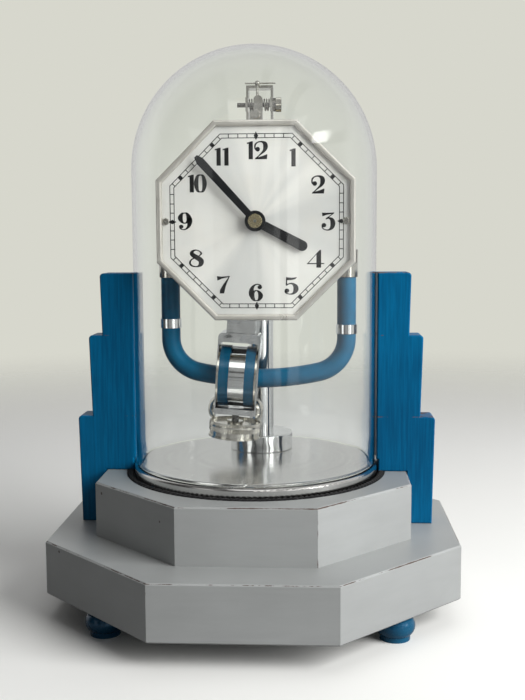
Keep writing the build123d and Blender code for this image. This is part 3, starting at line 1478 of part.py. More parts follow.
# Stirrup round the coil: top bar, two thin sides open for the magnet, bottom bar
coil_drop = bob_drop - coil_lift
stirrup_half = stirrup_width / 2
stirrup_height = stirrup_bottom - stirrup_top
stem_radius = stem_diameter / 2
stirrup_inner_top = stirrup_top + stirrup_top_bar
stirrup_inner_bottom = stirrup_bottom - stirrup_bottom_bar
stirrup_middle = (stirrup_top + stirrup_bottom) / 2
inner_middle = (stirrup_inner_top + stirrup_inner_bottom) / 2
with BuildPart() as bob_stirrup:
    with BuildSketch(before_rod(stirrup_depth / 2, stirrup_middle)):
        Rectangle(stirrup_width, stirrup_height)
        with Locations((0, stirrup_middle - inner_middle)):
            inner_width = stirrup_width - 2 * stirrup_side
            Rectangle(inner_width, stirrup_inner_bottom - stirrup_inner_top, mode=Mode.SUBTRACT)
    extrude(amount=stirrup_depth)
    fillet(
        [
            edge
            for edge in bob_stirrup.edges().filter_by(Axis.Y)
            if (edge.center() - below_pivot(stirrup_top).origin).length < stirrup_half + stirrup_side / 2
            and (edge.center() - below_pivot(stirrup_top).origin).length > stirrup_half - stirrup_side / 2
        ],
        stirrup_top_round,
    )
    with BuildSketch(beside_rod(-stirrup_half - overrun, coil_drop)):
        Circle(bobbin_bore / 2)
    extrude(amount=stirrup_width + 2 * overrun, mode=Mode.SUBTRACT)
    for side in (-1, 1):
        with BuildSketch(beside_rod(side * stirrup_half, knob_drop)):
            Circle(knob_shank_diameter / 2 + running_gap)
        extrude(amount=-side * stirrup_side, mode=Mode.SUBTRACT)
    with BuildSketch(below_pivot(stirrup_bottom)):
        Circle(stem_radius + running_gap)
    extrude(amount=stirrup_bottom_bar, mode=Mode.SUBTRACT)
keep(bob_stirrup, "bob_stirrup", stand_x)


def bob_ring(offset, length, outer, inner):
    """Ring about the coil's middle line, from an offset to the right of the rod."""
    with BuildPart() as ring:
        with BuildSketch(beside_rod(offset, coil_drop)):
            Circle(outer)
            Circle(inner, mode=Mode.SUBTRACT)
        extrude(amount=length)
    return ring.part


# Coil: bobbin with two cheeks, winding with blue covers, polished band between them
bobbin_half = coil_width / 2 + cheek_thickness
bobbin_outer = bobbin_bore / 2 + bobbin_wall
coil_radius = coil_diameter / 2
groove_radius = coil_radius - coil_band_inset - coil_band_wall
with BuildPart() as coil_bobbin:
    add(bob_ring(-bobbin_half, 2 * bobbin_half, bobbin_outer, bobbin_bore / 2))
    add(bob_ring(-bobbin_half, cheek_thickness, cheek_diameter / 2, bobbin_bore / 2))
    add(bob_ring(bobbin_half - cheek_thickness, cheek_thickness, cheek_diameter / 2, bobbin_bore / 2))
keep(coil_bobbin, "coil_bobbin", stand_x)

with BuildPart() as coil_winding:
    add(bob_ring(-coil_width / 2, coil_width, coil_radius, bobbin_outer + running_gap))
    groove_width = coil_band_width + 2 * running_gap
    add(bob_ring(-groove_width / 2, groove_width, coil_radius + overrun, groove_radius), mode=Mode.SUBTRACT)
keep(coil_winding, "coil_winding", stand_x)

with BuildPart() as coil_band:
    band_radius = coil_radius - coil_band_inset
    add(bob_ring(-coil_band_width / 2, coil_band_width, band_radius, groove_radius + running_gap))
keep(coil_band, "coil_band", stand_x)

# Domed knobs that hold the bobbin's cheeks in the stirrup
knob_radius = knob_diameter / 2
with BuildPart() as bob_knobs:
    for side in (-1, 1):
        knob_base = beside_rod(side * stirrup_half, knob_drop)
        across_rod = Plane(origin=knob_base.origin, x_dir=knob_base.z_dir * side, z_dir=(0, -1, 0))
        with BuildSketch(across_rod):
            with BuildLine():
                Polyline(
                    (knob_rim, knob_radius),
                    (0, knob_radius),
                    (0, knob_shank_diameter / 2),
                    (-stirrup_side, knob_shank_diameter / 2),
                    (-stirrup_side, 0),
                    (knob_height, 0),
                )
                cap_middle = (knob_rim + (knob_height - knob_rim) * sin(pi / 4), knob_radius * cos(pi / 4))
                ThreePointArc((knob_height, 0), cap_middle, (knob_rim, knob_radius))
            make_face()
        revolve(axis=Axis(origin=knob_base.origin, direction=knob_base.z_dir))
keep(bob_knobs, "bob_knobs", stand_x)

# Threaded stem and the rating nut
nut_wheel_bottom = nut_wheel_top + nut_wheel_height
nut_wheel_radius = nut_wheel_diameter / 2
with BuildPart() as rating_stem:
    with BuildSketch(below_pivot(nut_wheel_bottom - stem_end_inset)):
        Circle(stem_radius)
    extrude(amount=nut_wheel_bottom - stem_end_inset - stirrup_inner_bottom)
keep(rating_stem, "rating_stem", stand_x)

with BuildPart() as rating_nut:
    with BuildSketch(below_pivot(nut_wheel_bottom)):
        Circle(nut_wheel_radius - nut_wheel_groove)
    extrude(amount=nut_wheel_height)
    for rim_drop in (nut_wheel_bottom, nut_wheel_top + nut_wheel_rim):
        with BuildSketch(below_pivot(rim_drop)):
            Circle(nut_wheel_radius)
        extrude(amount=nut_wheel_rim)
    with BuildSketch(below_pivot(nut_wheel_top)):
        Circle(nut_wheel_hub_diameter / 2)
    extrude(amount=nut_wheel_hub_height)
    with BuildSketch(below_pivot(nut_wheel_bottom)):
        Circle(stem_radius + running_gap)
    extrude(amount=nut_wheel_height + nut_wheel_hub_height, mode=Mode.SUBTRACT)
keep(rating_nut, "rating_nut", stand_x)
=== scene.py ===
import math

import bmesh
import bpy
from mathutils import Matrix, Vector


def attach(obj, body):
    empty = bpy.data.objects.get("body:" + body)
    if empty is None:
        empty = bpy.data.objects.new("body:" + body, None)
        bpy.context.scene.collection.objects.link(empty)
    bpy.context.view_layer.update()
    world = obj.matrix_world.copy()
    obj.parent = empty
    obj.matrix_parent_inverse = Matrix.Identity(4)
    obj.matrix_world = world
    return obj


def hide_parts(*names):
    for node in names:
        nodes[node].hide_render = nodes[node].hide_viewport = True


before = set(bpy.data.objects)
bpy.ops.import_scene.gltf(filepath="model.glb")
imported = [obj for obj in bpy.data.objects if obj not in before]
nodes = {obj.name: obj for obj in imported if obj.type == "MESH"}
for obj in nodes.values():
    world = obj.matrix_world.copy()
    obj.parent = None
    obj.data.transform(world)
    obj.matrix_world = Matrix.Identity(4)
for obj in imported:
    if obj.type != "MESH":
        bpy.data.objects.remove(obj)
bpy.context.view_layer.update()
scene = bpy.context.scene
mm = 0.001
sameSpot = 1e-7  # points nearer than this are one

# places that several pieces share, in metres
pivot = Vector((0.0022, 0.0, 0.3467))
swing = math.radians(4.2)
dialMiddle = Vector((0.0022, -0.0255, 0.259))
rodDown = Vector((-math.sin(swing), 0.0, -math.cos(swing)))


# a number in a node tree, so that a sum in a surface reads as a sum
class Num:
    def __init__(self, tree, socket):
        self.tree, self.socket = tree, socket

    def math(self, operation, *others):
        feeds = {0: self}
        feeds.update({i + 1: other for i, other in enumerate(others)})
        return self.tree.num("ShaderNodeMath", {"operation": operation}, feeds)

    def __add__(self, other):
        return self.math("ADD", other)

    def __sub__(self, other):
        return self.math("SUBTRACT", other)

    def __mul__(self, other):
        return self.math("MULTIPLY", other)

    def __truediv__(self, other):
        return self.math("DIVIDE", other)

    def __rsub__(self, other):
        return self.tree.num("ShaderNodeMath", {"operation": "SUBTRACT"}, {0: other, 1: self})

    __radd__ = __add__
    __rmul__ = __mul__

    def upTo(self, other):
        return self.math("MINIMUM", other)

    def atLeast(self, other):
        return self.math("MAXIMUM", other)

    def size(self):
        return self.math("ABSOLUTE")

    def wave(self):
        return self.math("SINE")

    def root(self):
        return self.math("SQRT")

    def step(self, low, high):  # 0 below low, 1 above high, smooth between
        settings = {"interpolation_type": "SMOOTHSTEP"}
        return self.tree.num("ShaderNodeMapRange", settings, {"Value": self, "From Min": low, "From Max": high})


class Tree:
    def __init__(self, nodeTree):
        self.inner = nodeTree

    def add(self, kind, settings=None, feeds=None):
        item = self.inner.nodes.new(kind)
        for key, value in (settings or {}).items():
            setattr(item, key, value)
        for key, value in (feeds or {}).items():
            self.feed(item.inputs[key], value)
        return item

    def feed(self, socket, value):
        if isinstance(value, Num):
            value = value.socket
        if isinstance(value, bpy.types.NodeSocket):
            self.inner.links.new(value, socket)
        elif isinstance(value, (tuple, list)) and len(value) == 3 and len(socket.default_value) == 4:
            socket.default_value = (*value, 1.0)
        else:
            socket.default_value = value

    def num(self, kind, settings=None, feeds=None):
        return Num(self, self.add(kind, settings, feeds).outputs[0])


class Surface(Tree):
    def __init__(self, name, **fixed):
        self.material = bpy.data.materials.new(name)
        self.material.use_nodes = True
        super().__init__(self.material.node_tree)
        self.shader = self.inner.nodes["Principled BSDF"]
        self.paint(**fixed)

    def where(self, scale=(1.0, 1.0, 1.0), turn=(0.0, 0.0, 0.0), shift=(0.0, 0.0, 0.0)):
        place = self.add("ShaderNodeTexCoord").outputs["Object"]
        feeds = {"Vector": place, "Location": shift, "Rotation": turn, "Scale": scale}
        return self.add("ShaderNodeMapping", None, feeds).outputs[0]

    def xyz(self, vector=None):
        split = self.add("ShaderNodeSeparateXYZ", None, {0: vector or self.where()})
        return [Num(self, split.outputs[axis]) for axis in range(3)]

    def join(self, x, y, z):
        return self.add("ShaderNodeCombineXYZ", None, {0: x, 1: y, 2: z}).outputs[0]

    def noise(self, vector, scale, detail, rough, warp=0.0):
        feeds = {"Vector": vector, "Scale": scale, "Detail": detail, "Roughness": rough, "Distortion": warp}
        return self.num("ShaderNodeTexNoise", None, feeds)

    def cells(self, vector, scale):
        return self.num("ShaderNodeTexVoronoi", None, {"Vector": vector, "Scale": scale})

    def mix(self, factor, first, second):
        item = self.add("ShaderNodeMix", {"data_type": "RGBA"}, {0: factor, 6: first, 7: second})
        return item.outputs[2]

    def relief(self, height, strength, distance):
        feeds = {"Height": height, "Strength": strength, "Distance": distance}
        self.feed(self.shader.inputs["Normal"], self.add("ShaderNodeBump", None, feeds).outputs[0])

    def paint(self, **feeds):
        for key, value in feeds.items():
            self.feed(self.shader.inputs[key.replace("_", " ")], value)
        return self.material


def wear(*names):
    def put(material):
        for name in names:
            for holder in nodes[name].material_slots:
                holder.material = material
    return put


# settings of surfaces: a noise is (scale, detail, roughness) and maybe a warp, a relief is (strength, distance)

# silver-grey paint on the octagonal steps, brushed on and worn to reddish wood at the edges
greyPaint = {
    "pale": (0.43, 0.445, 0.443), "dark": (0.35, 0.36, 0.358), "wood": (0.075, 0.05, 0.04),
    "roughness": 0.4, "metal": 0.3, "chips": 0.8,
    "edge": 0.0014, "edgeCore": 0.0003, "cornerEdge": 0.00077, "cornerCore": 0.0004, "cornerWear": 0.9,
    "strokes": (26.0, 5.0, 0.62, 0.4), "strokeShare": 0.3, "cloud": (15.0, 3.0, 0.5), "cloudShare": 0.5,
    "grit": (1500.0, 2.0, 0.6), "ragged": (130.0, 6.0, 0.7), "raggedShare": 1.3,
    "patch": (22.0, 2.0, 0.5), "patchShare": 1.4, "bare": (0.74, 0.9),
    "spots": 85.0, "rare": (34.0, 1.0, 0.5), "relief": (0.3, 0.0003),
    "steps": {"plinth": {"across": 0.27, "top": 0.0515, "seed": 0.3},
              "step": {"across": 0.208, "top": 0.088, "seed": 1.7}},
}


def makeGreyPaint(name, across, top, seed):
    look = greyPaint
    surface = Surface(name + "GreyPaint")
    half = across / 2
    x, y, z = surface.xyz()
    slantA, slantB = ((x + y) * math.sqrt(0.5)).size(), ((x - y) * math.sqrt(0.5)).size()
    square, slant = x.size().atLeast(y.size()), slantA.atLeast(slantB)
    outer, corner = square.atLeast(slant), square.upTo(slant)
    shift = (seed, seed * 0.7, seed * 0.3)
    strokes = surface.noise(surface.where((1.0, 1.0, 6.0), shift=shift), *look["strokes"])
    cloud = surface.noise(surface.where(shift=shift), *look["cloud"])
    grit = surface.noise(surface.where(shift=shift), *look["grit"])
    share = strokes.step(0.25, 0.75) * look["strokeShare"] + cloud.step(0.25, 0.75) * look["cloudShare"]
    coat = surface.mix(share, look["dark"], look["pale"])
    # how worn each place is: the top edge, the upright corners, and small chips away from both
    ragged = surface.noise(surface.where(shift=shift), *look["ragged"])
    patch = surface.noise(surface.where(shift=shift), *look["patch"])
    edge, core = look["edge"], look["edgeCore"]
    nearTop = outer.step(half - edge, half - core) * z.step(top - edge, top - core)
    nearCorner = corner.step(half - look["cornerEdge"], half + look["cornerCore"]) * look["cornerWear"]
    uneven = (ragged - 0.5) * look["raggedShare"] + (patch - 0.5) * look["patchShare"]
    rubbed = (nearTop.atLeast(nearCorner) + uneven).step(*look["bare"])
    spots = surface.cells(surface.where(shift=shift), look["spots"])
    rare = surface.noise(surface.where(shift=shift), *look["rare"])
    chips = (1 - spots.step(0.06, 0.1)) * rare.step(0.62, 0.66) * look["chips"]
    bare = rubbed.atLeast(chips)
    surface.relief(strokes * 0.3 - bare * 0.5 + grit * 0.12, *look["relief"])
    return surface.paint(
        Base_Color=surface.mix(bare, coat, look["wood"]), Metallic=(1 - bare) * look["metal"],
        Roughness=look["roughness"] + strokes * 0.14 + bare * 0.3)


for name, look in greyPaint["steps"].items():
    wear(name)(makeGreyPaint(name, look["across"], look["top"], look["seed"]))

# petrol blue paint on the wings, with upright brush marks, lighter streaks along the brush hairs painted as
# highlight, and rubbed edges
bluePaint = {
    # streak is the colour of the painted highlight along the brush hairs
    "deep": (0.0006, 0.064, 0.155), "bright": (0.001, 0.122, 0.27), "streak": (0.012, 0.21, 0.37),
    "wood": (0.12, 0.07, 0.045), "roughness": 0.3, "gloss": 0.12,
    "tops": (0.126, 0.182, 0.2245), "topEdge": (0.0002, 0.0011),
    "front": -0.0066, "frontEdge": (0.0002, 0.0006),
    "marks": (26.0, 5.0, 0.6, 0.3), "markSqueeze": (22.0, 22.0, 1.0), "markShare": 0.55,
    "hairs": (34.0, 3.0, 0.7, 0.2), "hairSqueeze": (40.0, 40.0, 1.0), "glintShare": 0.6,
    "cloud": (14.0, 2.0, 0.5), "cloudShare": 0.4, "ragged": (150.0, 5.0, 0.7), "raggedShare": 1.0,
    "patch": (30.0, 2.0, 0.5), "patchShare": 1.7, "frontShare": 0.55, "bare": (1.02, 1.2),
    "relief": (0.4, 0.00025),
}


def makeBluePaint():
    look = bluePaint
    surface = Surface("wingBluePaint", Specular_IOR_Level=look["gloss"])
    _, y, z = surface.xyz()
    marks = surface.noise(surface.where(look["markSqueeze"]), *look["marks"])
    hairs = surface.noise(surface.where(look["hairSqueeze"]), *look["hairs"])
    cloud = surface.noise(surface.where(), *look["cloud"])
    share = marks.step(0.35, 0.7) * look["markShare"] + cloud.step(0.3, 0.7) * look["cloudShare"]
    tone = surface.mix(share, look["deep"], look["bright"])
    # painted highlight: lighter streaks where the brush hairs meet the cloud
    lit = hairs.step(0.6, 0.78) * cloud.step(0.4, 0.62) * look["glintShare"]
    tone = surface.mix(lit, tone, look["streak"])
    # rubbed edges: the tops of the tiers and the front corners
    nearTier = None
    for top in look["tops"]:
        rim = 1 - (z - top).size().step(*look["topEdge"])
        nearTier = rim if nearTier is None else nearTier.atLeast(rim)
    nearFront = 1 - (y - look["front"]).size().step(*look["frontEdge"])
    ragged = surface.noise(surface.where(), *look["ragged"])
    patch = surface.noise(surface.where(), *look["patch"])
    uneven = (ragged - 0.5) * look["raggedShare"] + (patch - 0.5) * look["patchShare"]
    bare = (nearTier.atLeast(nearFront * look["frontShare"]) + uneven).step(*look["bare"])
    surface.relief(marks * 0.7 + hairs * 0.3 - bare, *look["relief"])
    return surface.paint(
        Base_Color=surface.mix(bare, tone, look["wood"]),
        Roughness=look["roughness"] + marks * 0.2 + bare * 0.3)


wear("wing_left", "wing_right")(makeBluePaint())


# plain lacquers and enamels in blue
blueCoats = {
    # painted shade: the feet's blue is set darker than the wings' to stand for the shadow under the base
    "footLacquer": {"node": "feet", "deep": (0.002, 0.05, 0.11), "bright": (0.006, 0.09, 0.18),
                    "roughness": 0.2, "coat": 0.4, "flake": 0.2},
    "magnetEnamel": {"node": "magnet", "deep": (0.0005, 0.07, 0.145), "bright": (0.002, 0.11, 0.215),
                     "roughness": 0.3, "coat": 0.05, "flake": 0.02},
    "coilCoverBlue": {"node": "coil_winding", "deep": (0.001, 0.05, 0.1), "bright": (0.004, 0.075, 0.145),
                      "roughness": 0.16, "coat": 0.35, "flake": 0.05},
}
coatGrain = {
    "cloud": (40.0, 3.0, 0.5), "dust": (900.0, 2.0, 0.6), "ripple": (260.0, 2.0, 0.5), "relief": (0.08, 0.0002),
    "gloss": 0.2, "coatRoughness": 0.06,
}


def makeBlueCoat(name, look):
    surface = Surface(name, Coat_Weight=look["coat"], Coat_Roughness=coatGrain["coatRoughness"],
                      Specular_IOR_Level=coatGrain["gloss"])
    cloud = surface.noise(surface.where(), *coatGrain["cloud"])
    dust = surface.noise(surface.where(), *coatGrain["dust"])
    ripple = surface.noise(surface.where(), *coatGrain["ripple"])
    colour = surface.mix(cloud.step(0.3, 0.72), look["deep"], look["bright"])
    surface.relief(ripple + dust * 0.2, *coatGrain["relief"])
    return surface.paint(
        Base_Color=colour, Roughness=look["roughness"] + dust * 0.12, Metallic=look["flake"] + dust * 0.05)


for name, look in blueCoats.items():
    wear(look["node"])(makeBlueCoat(name, look))


# polished, turned and threaded metals
metalGrain = {
    "smudge": (70.0, 4.0, 0.6), "smudgeShare": 0.35, "worn": 0.86,
    "lines": (420.0, 3.0, 0.6), "lineDepth": 0.0001, "thread": (0.9, 0.0002),
    "tarnish": (160.0, 5.0, 0.7), "wave": (75.0, 1.0, 0.5),
}
metalLooks = {
    "polishedChrome": {"colour": (0.78, 0.79, 0.79), "roughness": 0.05, "grain": 0.03,
                       "nodes": ("column", "magnet_rings", "coil_band")},
    "wavyChrome": {"colour": (0.8, 0.81, 0.81), "roughness": 0.05, "wave": 0.0009,
                   "nodes": ("column_foot", "bob_hanger", "bob_stirrup")},
    "warmNickel": {"colour": (0.7, 0.68, 0.62), "roughness": 0.14, "grain": 0.06, "tarnish": (0.42, 0.35, 0.24),
                   "age": 0.4,
                   "nodes": ("magnet_clips", "dial_screws", "suspension_cock", "clamp_screw", "bob_knobs",
                             "coil_bobbin", "suspension_key", "rating_nut", "beat_block")},
    "nickelThread": {"colour": (0.34, 0.33, 0.3), "roughness": 0.2, "thread": (0, 0.0008),
                     "nodes": ("beat_screw",)},
    "steelThread": {"colour": (0.53, 0.53, 0.52), "roughness": 0.24, "thread": (2, 0.001),
                    "nodes": ("rating_stem",)},
    "springWire": {"colour": (0.42, 0.41, 0.38), "roughness": 0.2, "grain": 0.05,
                   "nodes": ("beat_springs", "suspension_strip")},
    "plainSteel": {"colour": (0.53, 0.53, 0.52), "roughness": 0.26, "streak": (1, 30, 1), "grain": 0.12,
                   "tarnish": (0.25, 0.2, 0.16), "age": 0.25,
                   "nodes": ("column_nut", "frame_screws", "centre_arbor", "cannon_pinion", "minute_stud",
                             "pawl", "pendulum_rod")},
    "plateBrass": {"colour": (0.66, 0.53, 0.29), "roughness": 0.3, "streak": (1, 1, 24), "grain": 0.14,
                   "tarnish": (0.36, 0.25, 0.12), "age": 0.45,
                   "nodes": ("movement_yoke", "back_plate", "front_plate", "pillars", "dial_arms",
                             "magnet_bracket")},
    "gearBrass": {"colour": (0.66, 0.57, 0.36), "roughness": 0.22, "streak": (3, 1, 3), "grain": 0.12,
                  "tarnish": (0.36, 0.29, 0.17), "age": 0.5,
                  "nodes": ("ratchet_wheel", "third_wheel", "centre_wheel", "minute_wheel", "hour_wheel",
                            "contact_fork", "hand_collet", "suspension_chops", "contact_pin", "wood_screws",
                            "battery_contacts")},
    "bezelMetal": {"colour": (0.81, 0.77, 0.71), "roughness": 0.24, "grain": 0.08, "tarnish": (0.55, 0.47, 0.4),
                   "age": 0.35, "metallic": 0.75, "nodes": ("dial_bezel",)},
}


def makeMetal(name, look):
    surface = Surface(name, Metallic=look.get("metallic", 1.0))
    grain = look.get("grain", 0.0)
    smudge = surface.noise(surface.where(), *metalGrain["smudge"])
    lines = surface.noise(surface.where(look.get("streak", (1, 1, 1))), *metalGrain["lines"])
    worn = tuple(metalGrain["worn"] * part for part in look["colour"])
    tone = surface.mix(smudge.step(0.25, 0.8) * metalGrain["smudgeShare"], look["colour"], worn)
    if "tarnish" in look:
        spots = surface.noise(surface.where(), *metalGrain["tarnish"])
        tone = surface.mix(spots.step(0.55, 0.75) * look["age"], tone, look["tarnish"])
    if "thread" in look:
        axis, pitch = look["thread"]
        surface.relief((surface.xyz()[axis] * (2 * math.pi / pitch)).wave(), *metalGrain["thread"])
    elif "wave" in look:
        surface.relief(surface.noise(surface.where(), *metalGrain["wave"]), 1.0, look["wave"])
    else:
        surface.relief(lines, grain, metalGrain["lineDepth"])
    return surface.paint(Base_Color=tone, Roughness=look["roughness"] + smudge * 0.07 + lines * grain * 0.3)


metals = {name: makeMetal(name, look) for name, look in metalLooks.items()}
for name, look in metalLooks.items():
    wear(*look["nodes"])(metals[name])
print("plain metals and paints done")

# turned plate under the glass: fine rings about the middle, with a few stains and specks
turnedPlate = {
    "pale": (0.74, 0.735, 0.72), "dark": (0.64, 0.635, 0.62), "speckTone": (0.16, 0.14, 0.12), "roughness": 0.1,
    "rings": (5200.0, 2.0, 0.7), "wide": (260.0, 2.0, 0.5), "stain": (48.0, 4.0, 0.65), "specks": 120.0,
    "rare": (60.0, 1.0, 0.5), "relief": (0.08, 0.0001),
}


def makeTurnedPlate():
    look = turnedPlate
    surface = Surface("turnedPlate", Metallic=1.0)
    x, y, z = surface.xyz()
    radius = (x * x + y * y).root()
    rings = surface.noise(surface.join(radius, 0.0, z), *look["rings"])
    wide = surface.noise(surface.join(radius, 0.0, z), *look["wide"])
    stain = surface.noise(surface.where(), *look["stain"])
    specks = surface.cells(surface.where(), look["specks"])
    rare = surface.noise(surface.where(), *look["rare"])
    speck = (1 - specks.step(0.05, 0.09)) * rare.step(0.6, 0.64)
    tone = surface.mix(wide.step(0.3, 0.7) * 0.6 + stain.step(0.55, 0.75) * 0.3, look["pale"], look["dark"])
    tone = surface.mix(speck * 0.7, tone, look["speckTone"])
    surface.relief(rings, *look["relief"])
    return surface.paint(Base_Color=tone, Roughness=look["roughness"] + rings * 0.08 + stain * 0.1)


wear("base_plate")(makeTurnedPlate())

# silvered dial, brushed out from the middle, with bright and dark sectors painted as the sheen of the brushing
silverDial = {
    "pale": (0.84, 0.815, 0.775), "dark": (0.73, 0.72, 0.7), "warm": (0.8, 0.75, 0.68),
    "roughness": 0.34, "metal": 0.12, "metalShare": 0.16, "relief": (0.16, 0.0001),
    "fine": (95.0, 3.0, 0.7), "sheenSectors": (1.7, 2.0, 0.5), "patina": (38.0, 4.0, 0.6),
}


def makeSilverDial():
    look = silverDial
    surface = Surface("silveredDial")
    x, _, z = surface.xyz(surface.where(shift=(-dialMiddle.x, 0.0, -dialMiddle.z)))
    radius = (x * x + z * z).root() + 0.0001
    ray = surface.join(x / radius, radius * 0.6, z / radius)
    fine = surface.noise(ray, *look["fine"])
    # painted sheen: bright and dark sectors about the middle, also carried into the metallic share
    sheenSectors = surface.noise(ray, *look["sheenSectors"])
    patina = surface.noise(surface.where(), *look["patina"])
    tone = surface.mix(sheenSectors.step(0.36, 0.66), look["pale"], look["dark"])
    tone = surface.mix(fine.step(0.3, 0.75) * 0.22, tone, look["dark"])
    tone = surface.mix(patina.step(0.45, 0.8) * 0.35, tone, look["warm"])
    surface.relief(fine, *look["relief"])
    return surface.paint(
        Base_Color=tone, Roughness=look["roughness"] + fine * 0.1,
        Metallic=look["metal"] + sheenSectors.step(0.3, 0.7) * look["metalShare"])


wear("dial_plate")(makeSilverDial())


# blackened hands, rubbed along their length
handBlack = {
    "black": (0.012, 0.013, 0.015), "rubbed": (0.05, 0.053, 0.056), "roughness": 0.3, "metal": 0.35,
    "coat": 0.15, "squeeze": (34.0, 1.0, 1.0), "lines": (60.0, 4.0, 0.65), "rub": (90.0, 3.0, 0.6),
    "relief": (0.25, 0.0001),
    "hands": {"hourHandBlack": ("hour_hand", 118.0), "minuteHandBlack": ("minute_hand", -42.5)},
}


def makeHandBlack(name, angle):
    look = handBlack
    surface = Surface(name, Coat_Weight=look["coat"])
    upright = surface.where(turn=(0.0, -math.radians(angle), 0.0))
    squeezed = surface.add("ShaderNodeMapping", None, {"Vector": upright, "Scale": look["squeeze"]}).outputs[0]
    lines = surface.noise(squeezed, *look["lines"])
    rub = surface.noise(surface.where(), *look["rub"])
    tone = surface.mix(lines.step(0.45, 0.75) * 0.5, look["black"], look["rubbed"])
    surface.relief(lines, *look["relief"])
    return surface.paint(
        Base_Color=tone, Roughness=look["roughness"] + rub * 0.2, Metallic=look["metal"] + lines * 0.3)


for name, (node, angle) in handBlack["hands"].items():
    wear(node)(makeHandBlack(name, angle))

# underside: cover board, battery sleeve, leads
dullLooks = {
    "coverBoard": {"node": "battery_cover", "deep": (0.26, 0.25, 0.24), "bright": (0.35, 0.34, 0.325),
                   "roughness": 0.55, "scale": 30.0},
    "batterySleeve": {"node": "battery", "deep": (0.02, 0.02, 0.022), "bright": (0.06, 0.055, 0.05),
                      "roughness": 0.3, "scale": 20.0},
    "leadSleeve": {"node": "battery_leads", "deep": (0.015, 0.014, 0.013), "bright": (0.04, 0.035, 0.03),
                   "roughness": 0.45, "scale": 60.0},
}
dullGrain = {"cloud": (4.0, 0.6), "grit": (2.0, 0.6), "finer": 30.0, "relief": (0.3, 0.0002)}


def makeDull(name, look):
    surface = Surface(name)
    cloud = surface.noise(surface.where(), look["scale"], *dullGrain["cloud"])
    grit = surface.noise(surface.where(), look["scale"] * dullGrain["finer"], *dullGrain["grit"])
    surface.relief(cloud * 0.5 + grit * 0.3, *dullGrain["relief"])
    tone = surface.mix(cloud.step(0.3, 0.7), look["deep"], look["bright"])
    return surface.paint(Base_Color=tone, Roughness=look["roughness"] + grit * 0.12)


for name, look in dullLooks.items():
    wear(look["node"])(makeDull(name, look))
print("plate, dial and hands done")


def newPiece(name, vertices, faces, material):
    mesh = bpy.data.meshes.new(name)
    mesh.from_pydata([tuple(v) for v in vertices], [], faces)
    mesh.materials.append(material)
    piece = bpy.data.objects.new(name, mesh)
    scene.collection.objects.link(piece)
    return piece


def lathe(name, profile, sides, material):  # profile of (radius, height), turned about the Z axis
    vertices, faces = [], []
    for side in range(sides):
        turn = 2 * math.pi * side / sides
        vertices += [(r * math.cos(turn), r * math.sin(turn), z) for r, z in profile]
    count = len(profile)
    for side in range(sides):
        a, b = side * count, (side + 1) % sides * count
        for i in range(count - 1):
            faces.append((a + i, b + i, b + i + 1, a + i + 1))
    piece = newPiece(name, vertices, faces, material)
    shape = bmesh.new()
    shape.from_mesh(piece.data)
    bmesh.ops.remove_doubles(shape, verts=shape.verts, dist=sameSpot)
    bmesh.ops.recalc_face_normals(shape, faces=shape.faces)
    shape.to_mesh(piece.data)
    shape.free()
    piece.data.polygons.foreach_set("use_smooth", [True] * len(piece.data.polygons))
    piece.data.update()
    return piece


# glass dome with a rounded, slightly thicker foot
dome = {
    "radius": 0.0825, "wall": 0.0024, "foot": 0.0945, "top": 0.3755, "rim": 0.0016, "taper": 0.006,
    "sides": 128, "rimSteps": 8, "wallSteps": 12, "crownSteps": 32,
    "tint": (0.985, 1.0, 0.995), "shadow": (0.97, 0.985, 0.98), "ior": 1.45,
    "stretch": (1.0, 1.0, 0.35), "ripple": (9.0, 2.0, 0.5), "relief": (0.05, 0.002),
}


def makeDomeGlass():
    surface = Surface(
        "domeGlass", Base_Color=dome["tint"], Roughness=0.0, IOR=dome["ior"], Transmission_Weight=1.0)
    surface.relief(surface.noise(surface.where(dome["stretch"]), *dome["ripple"]), *dome["relief"])
    # the glass casts no dark shadow
    clear = surface.add("ShaderNodeBsdfTransparent", None, {"Color": dome["shadow"]})
    shadow = surface.add("ShaderNodeLightPath").outputs["Is Shadow Ray"]
    feeds = {0: shadow, 1: surface.shader.outputs[0], 2: clear.outputs[0]}
    blend = surface.add("ShaderNodeMixShader", None, feeds)
    surface.feed(surface.inner.nodes["Material Output"].inputs["Surface"], blend.outputs[0])
    return surface.material


def domeProfile():
    outer, foot, rim = dome["radius"], dome["foot"], dome["rim"]
    inner, middle, taper = outer - dome["wall"], dome["top"] - outer, foot + dome["taper"]
    rimSteps, wallSteps, crownSteps = dome["rimSteps"], dome["wallSteps"], dome["crownSteps"]
    profile = []
    for i in range(rimSteps + 1):  # round foot of the glass, from inside to outside
        turn = math.pi + math.pi * i / rimSteps
        profile.append((outer - rim + rim * math.cos(turn), foot + rim + rim * math.sin(turn)))
    profile += [(outer, foot + rim + (middle - foot - rim) * i / wallSteps) for i in range(1, wallSteps + 1)]
    turns = [math.pi / 2 * i / crownSteps for i in range(1, crownSteps + 1)]
    profile += [(outer * math.cos(turn), middle + outer * math.sin(turn)) for turn in turns]
    profile += [(inner * math.cos(turn), middle + inner * math.sin(turn)) for turn in reversed(turns)]
    profile += [(inner, taper + (middle - taper) * i / wallSteps) for i in range(wallSteps, -1, -1)]
    profile.append(profile[0])
    return profile


domeGlass = lathe("domeGlass", domeProfile(), dome["sides"], makeDomeGlass())
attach(domeGlass, "dome")
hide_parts("glass_dome")
print("glass dome done")


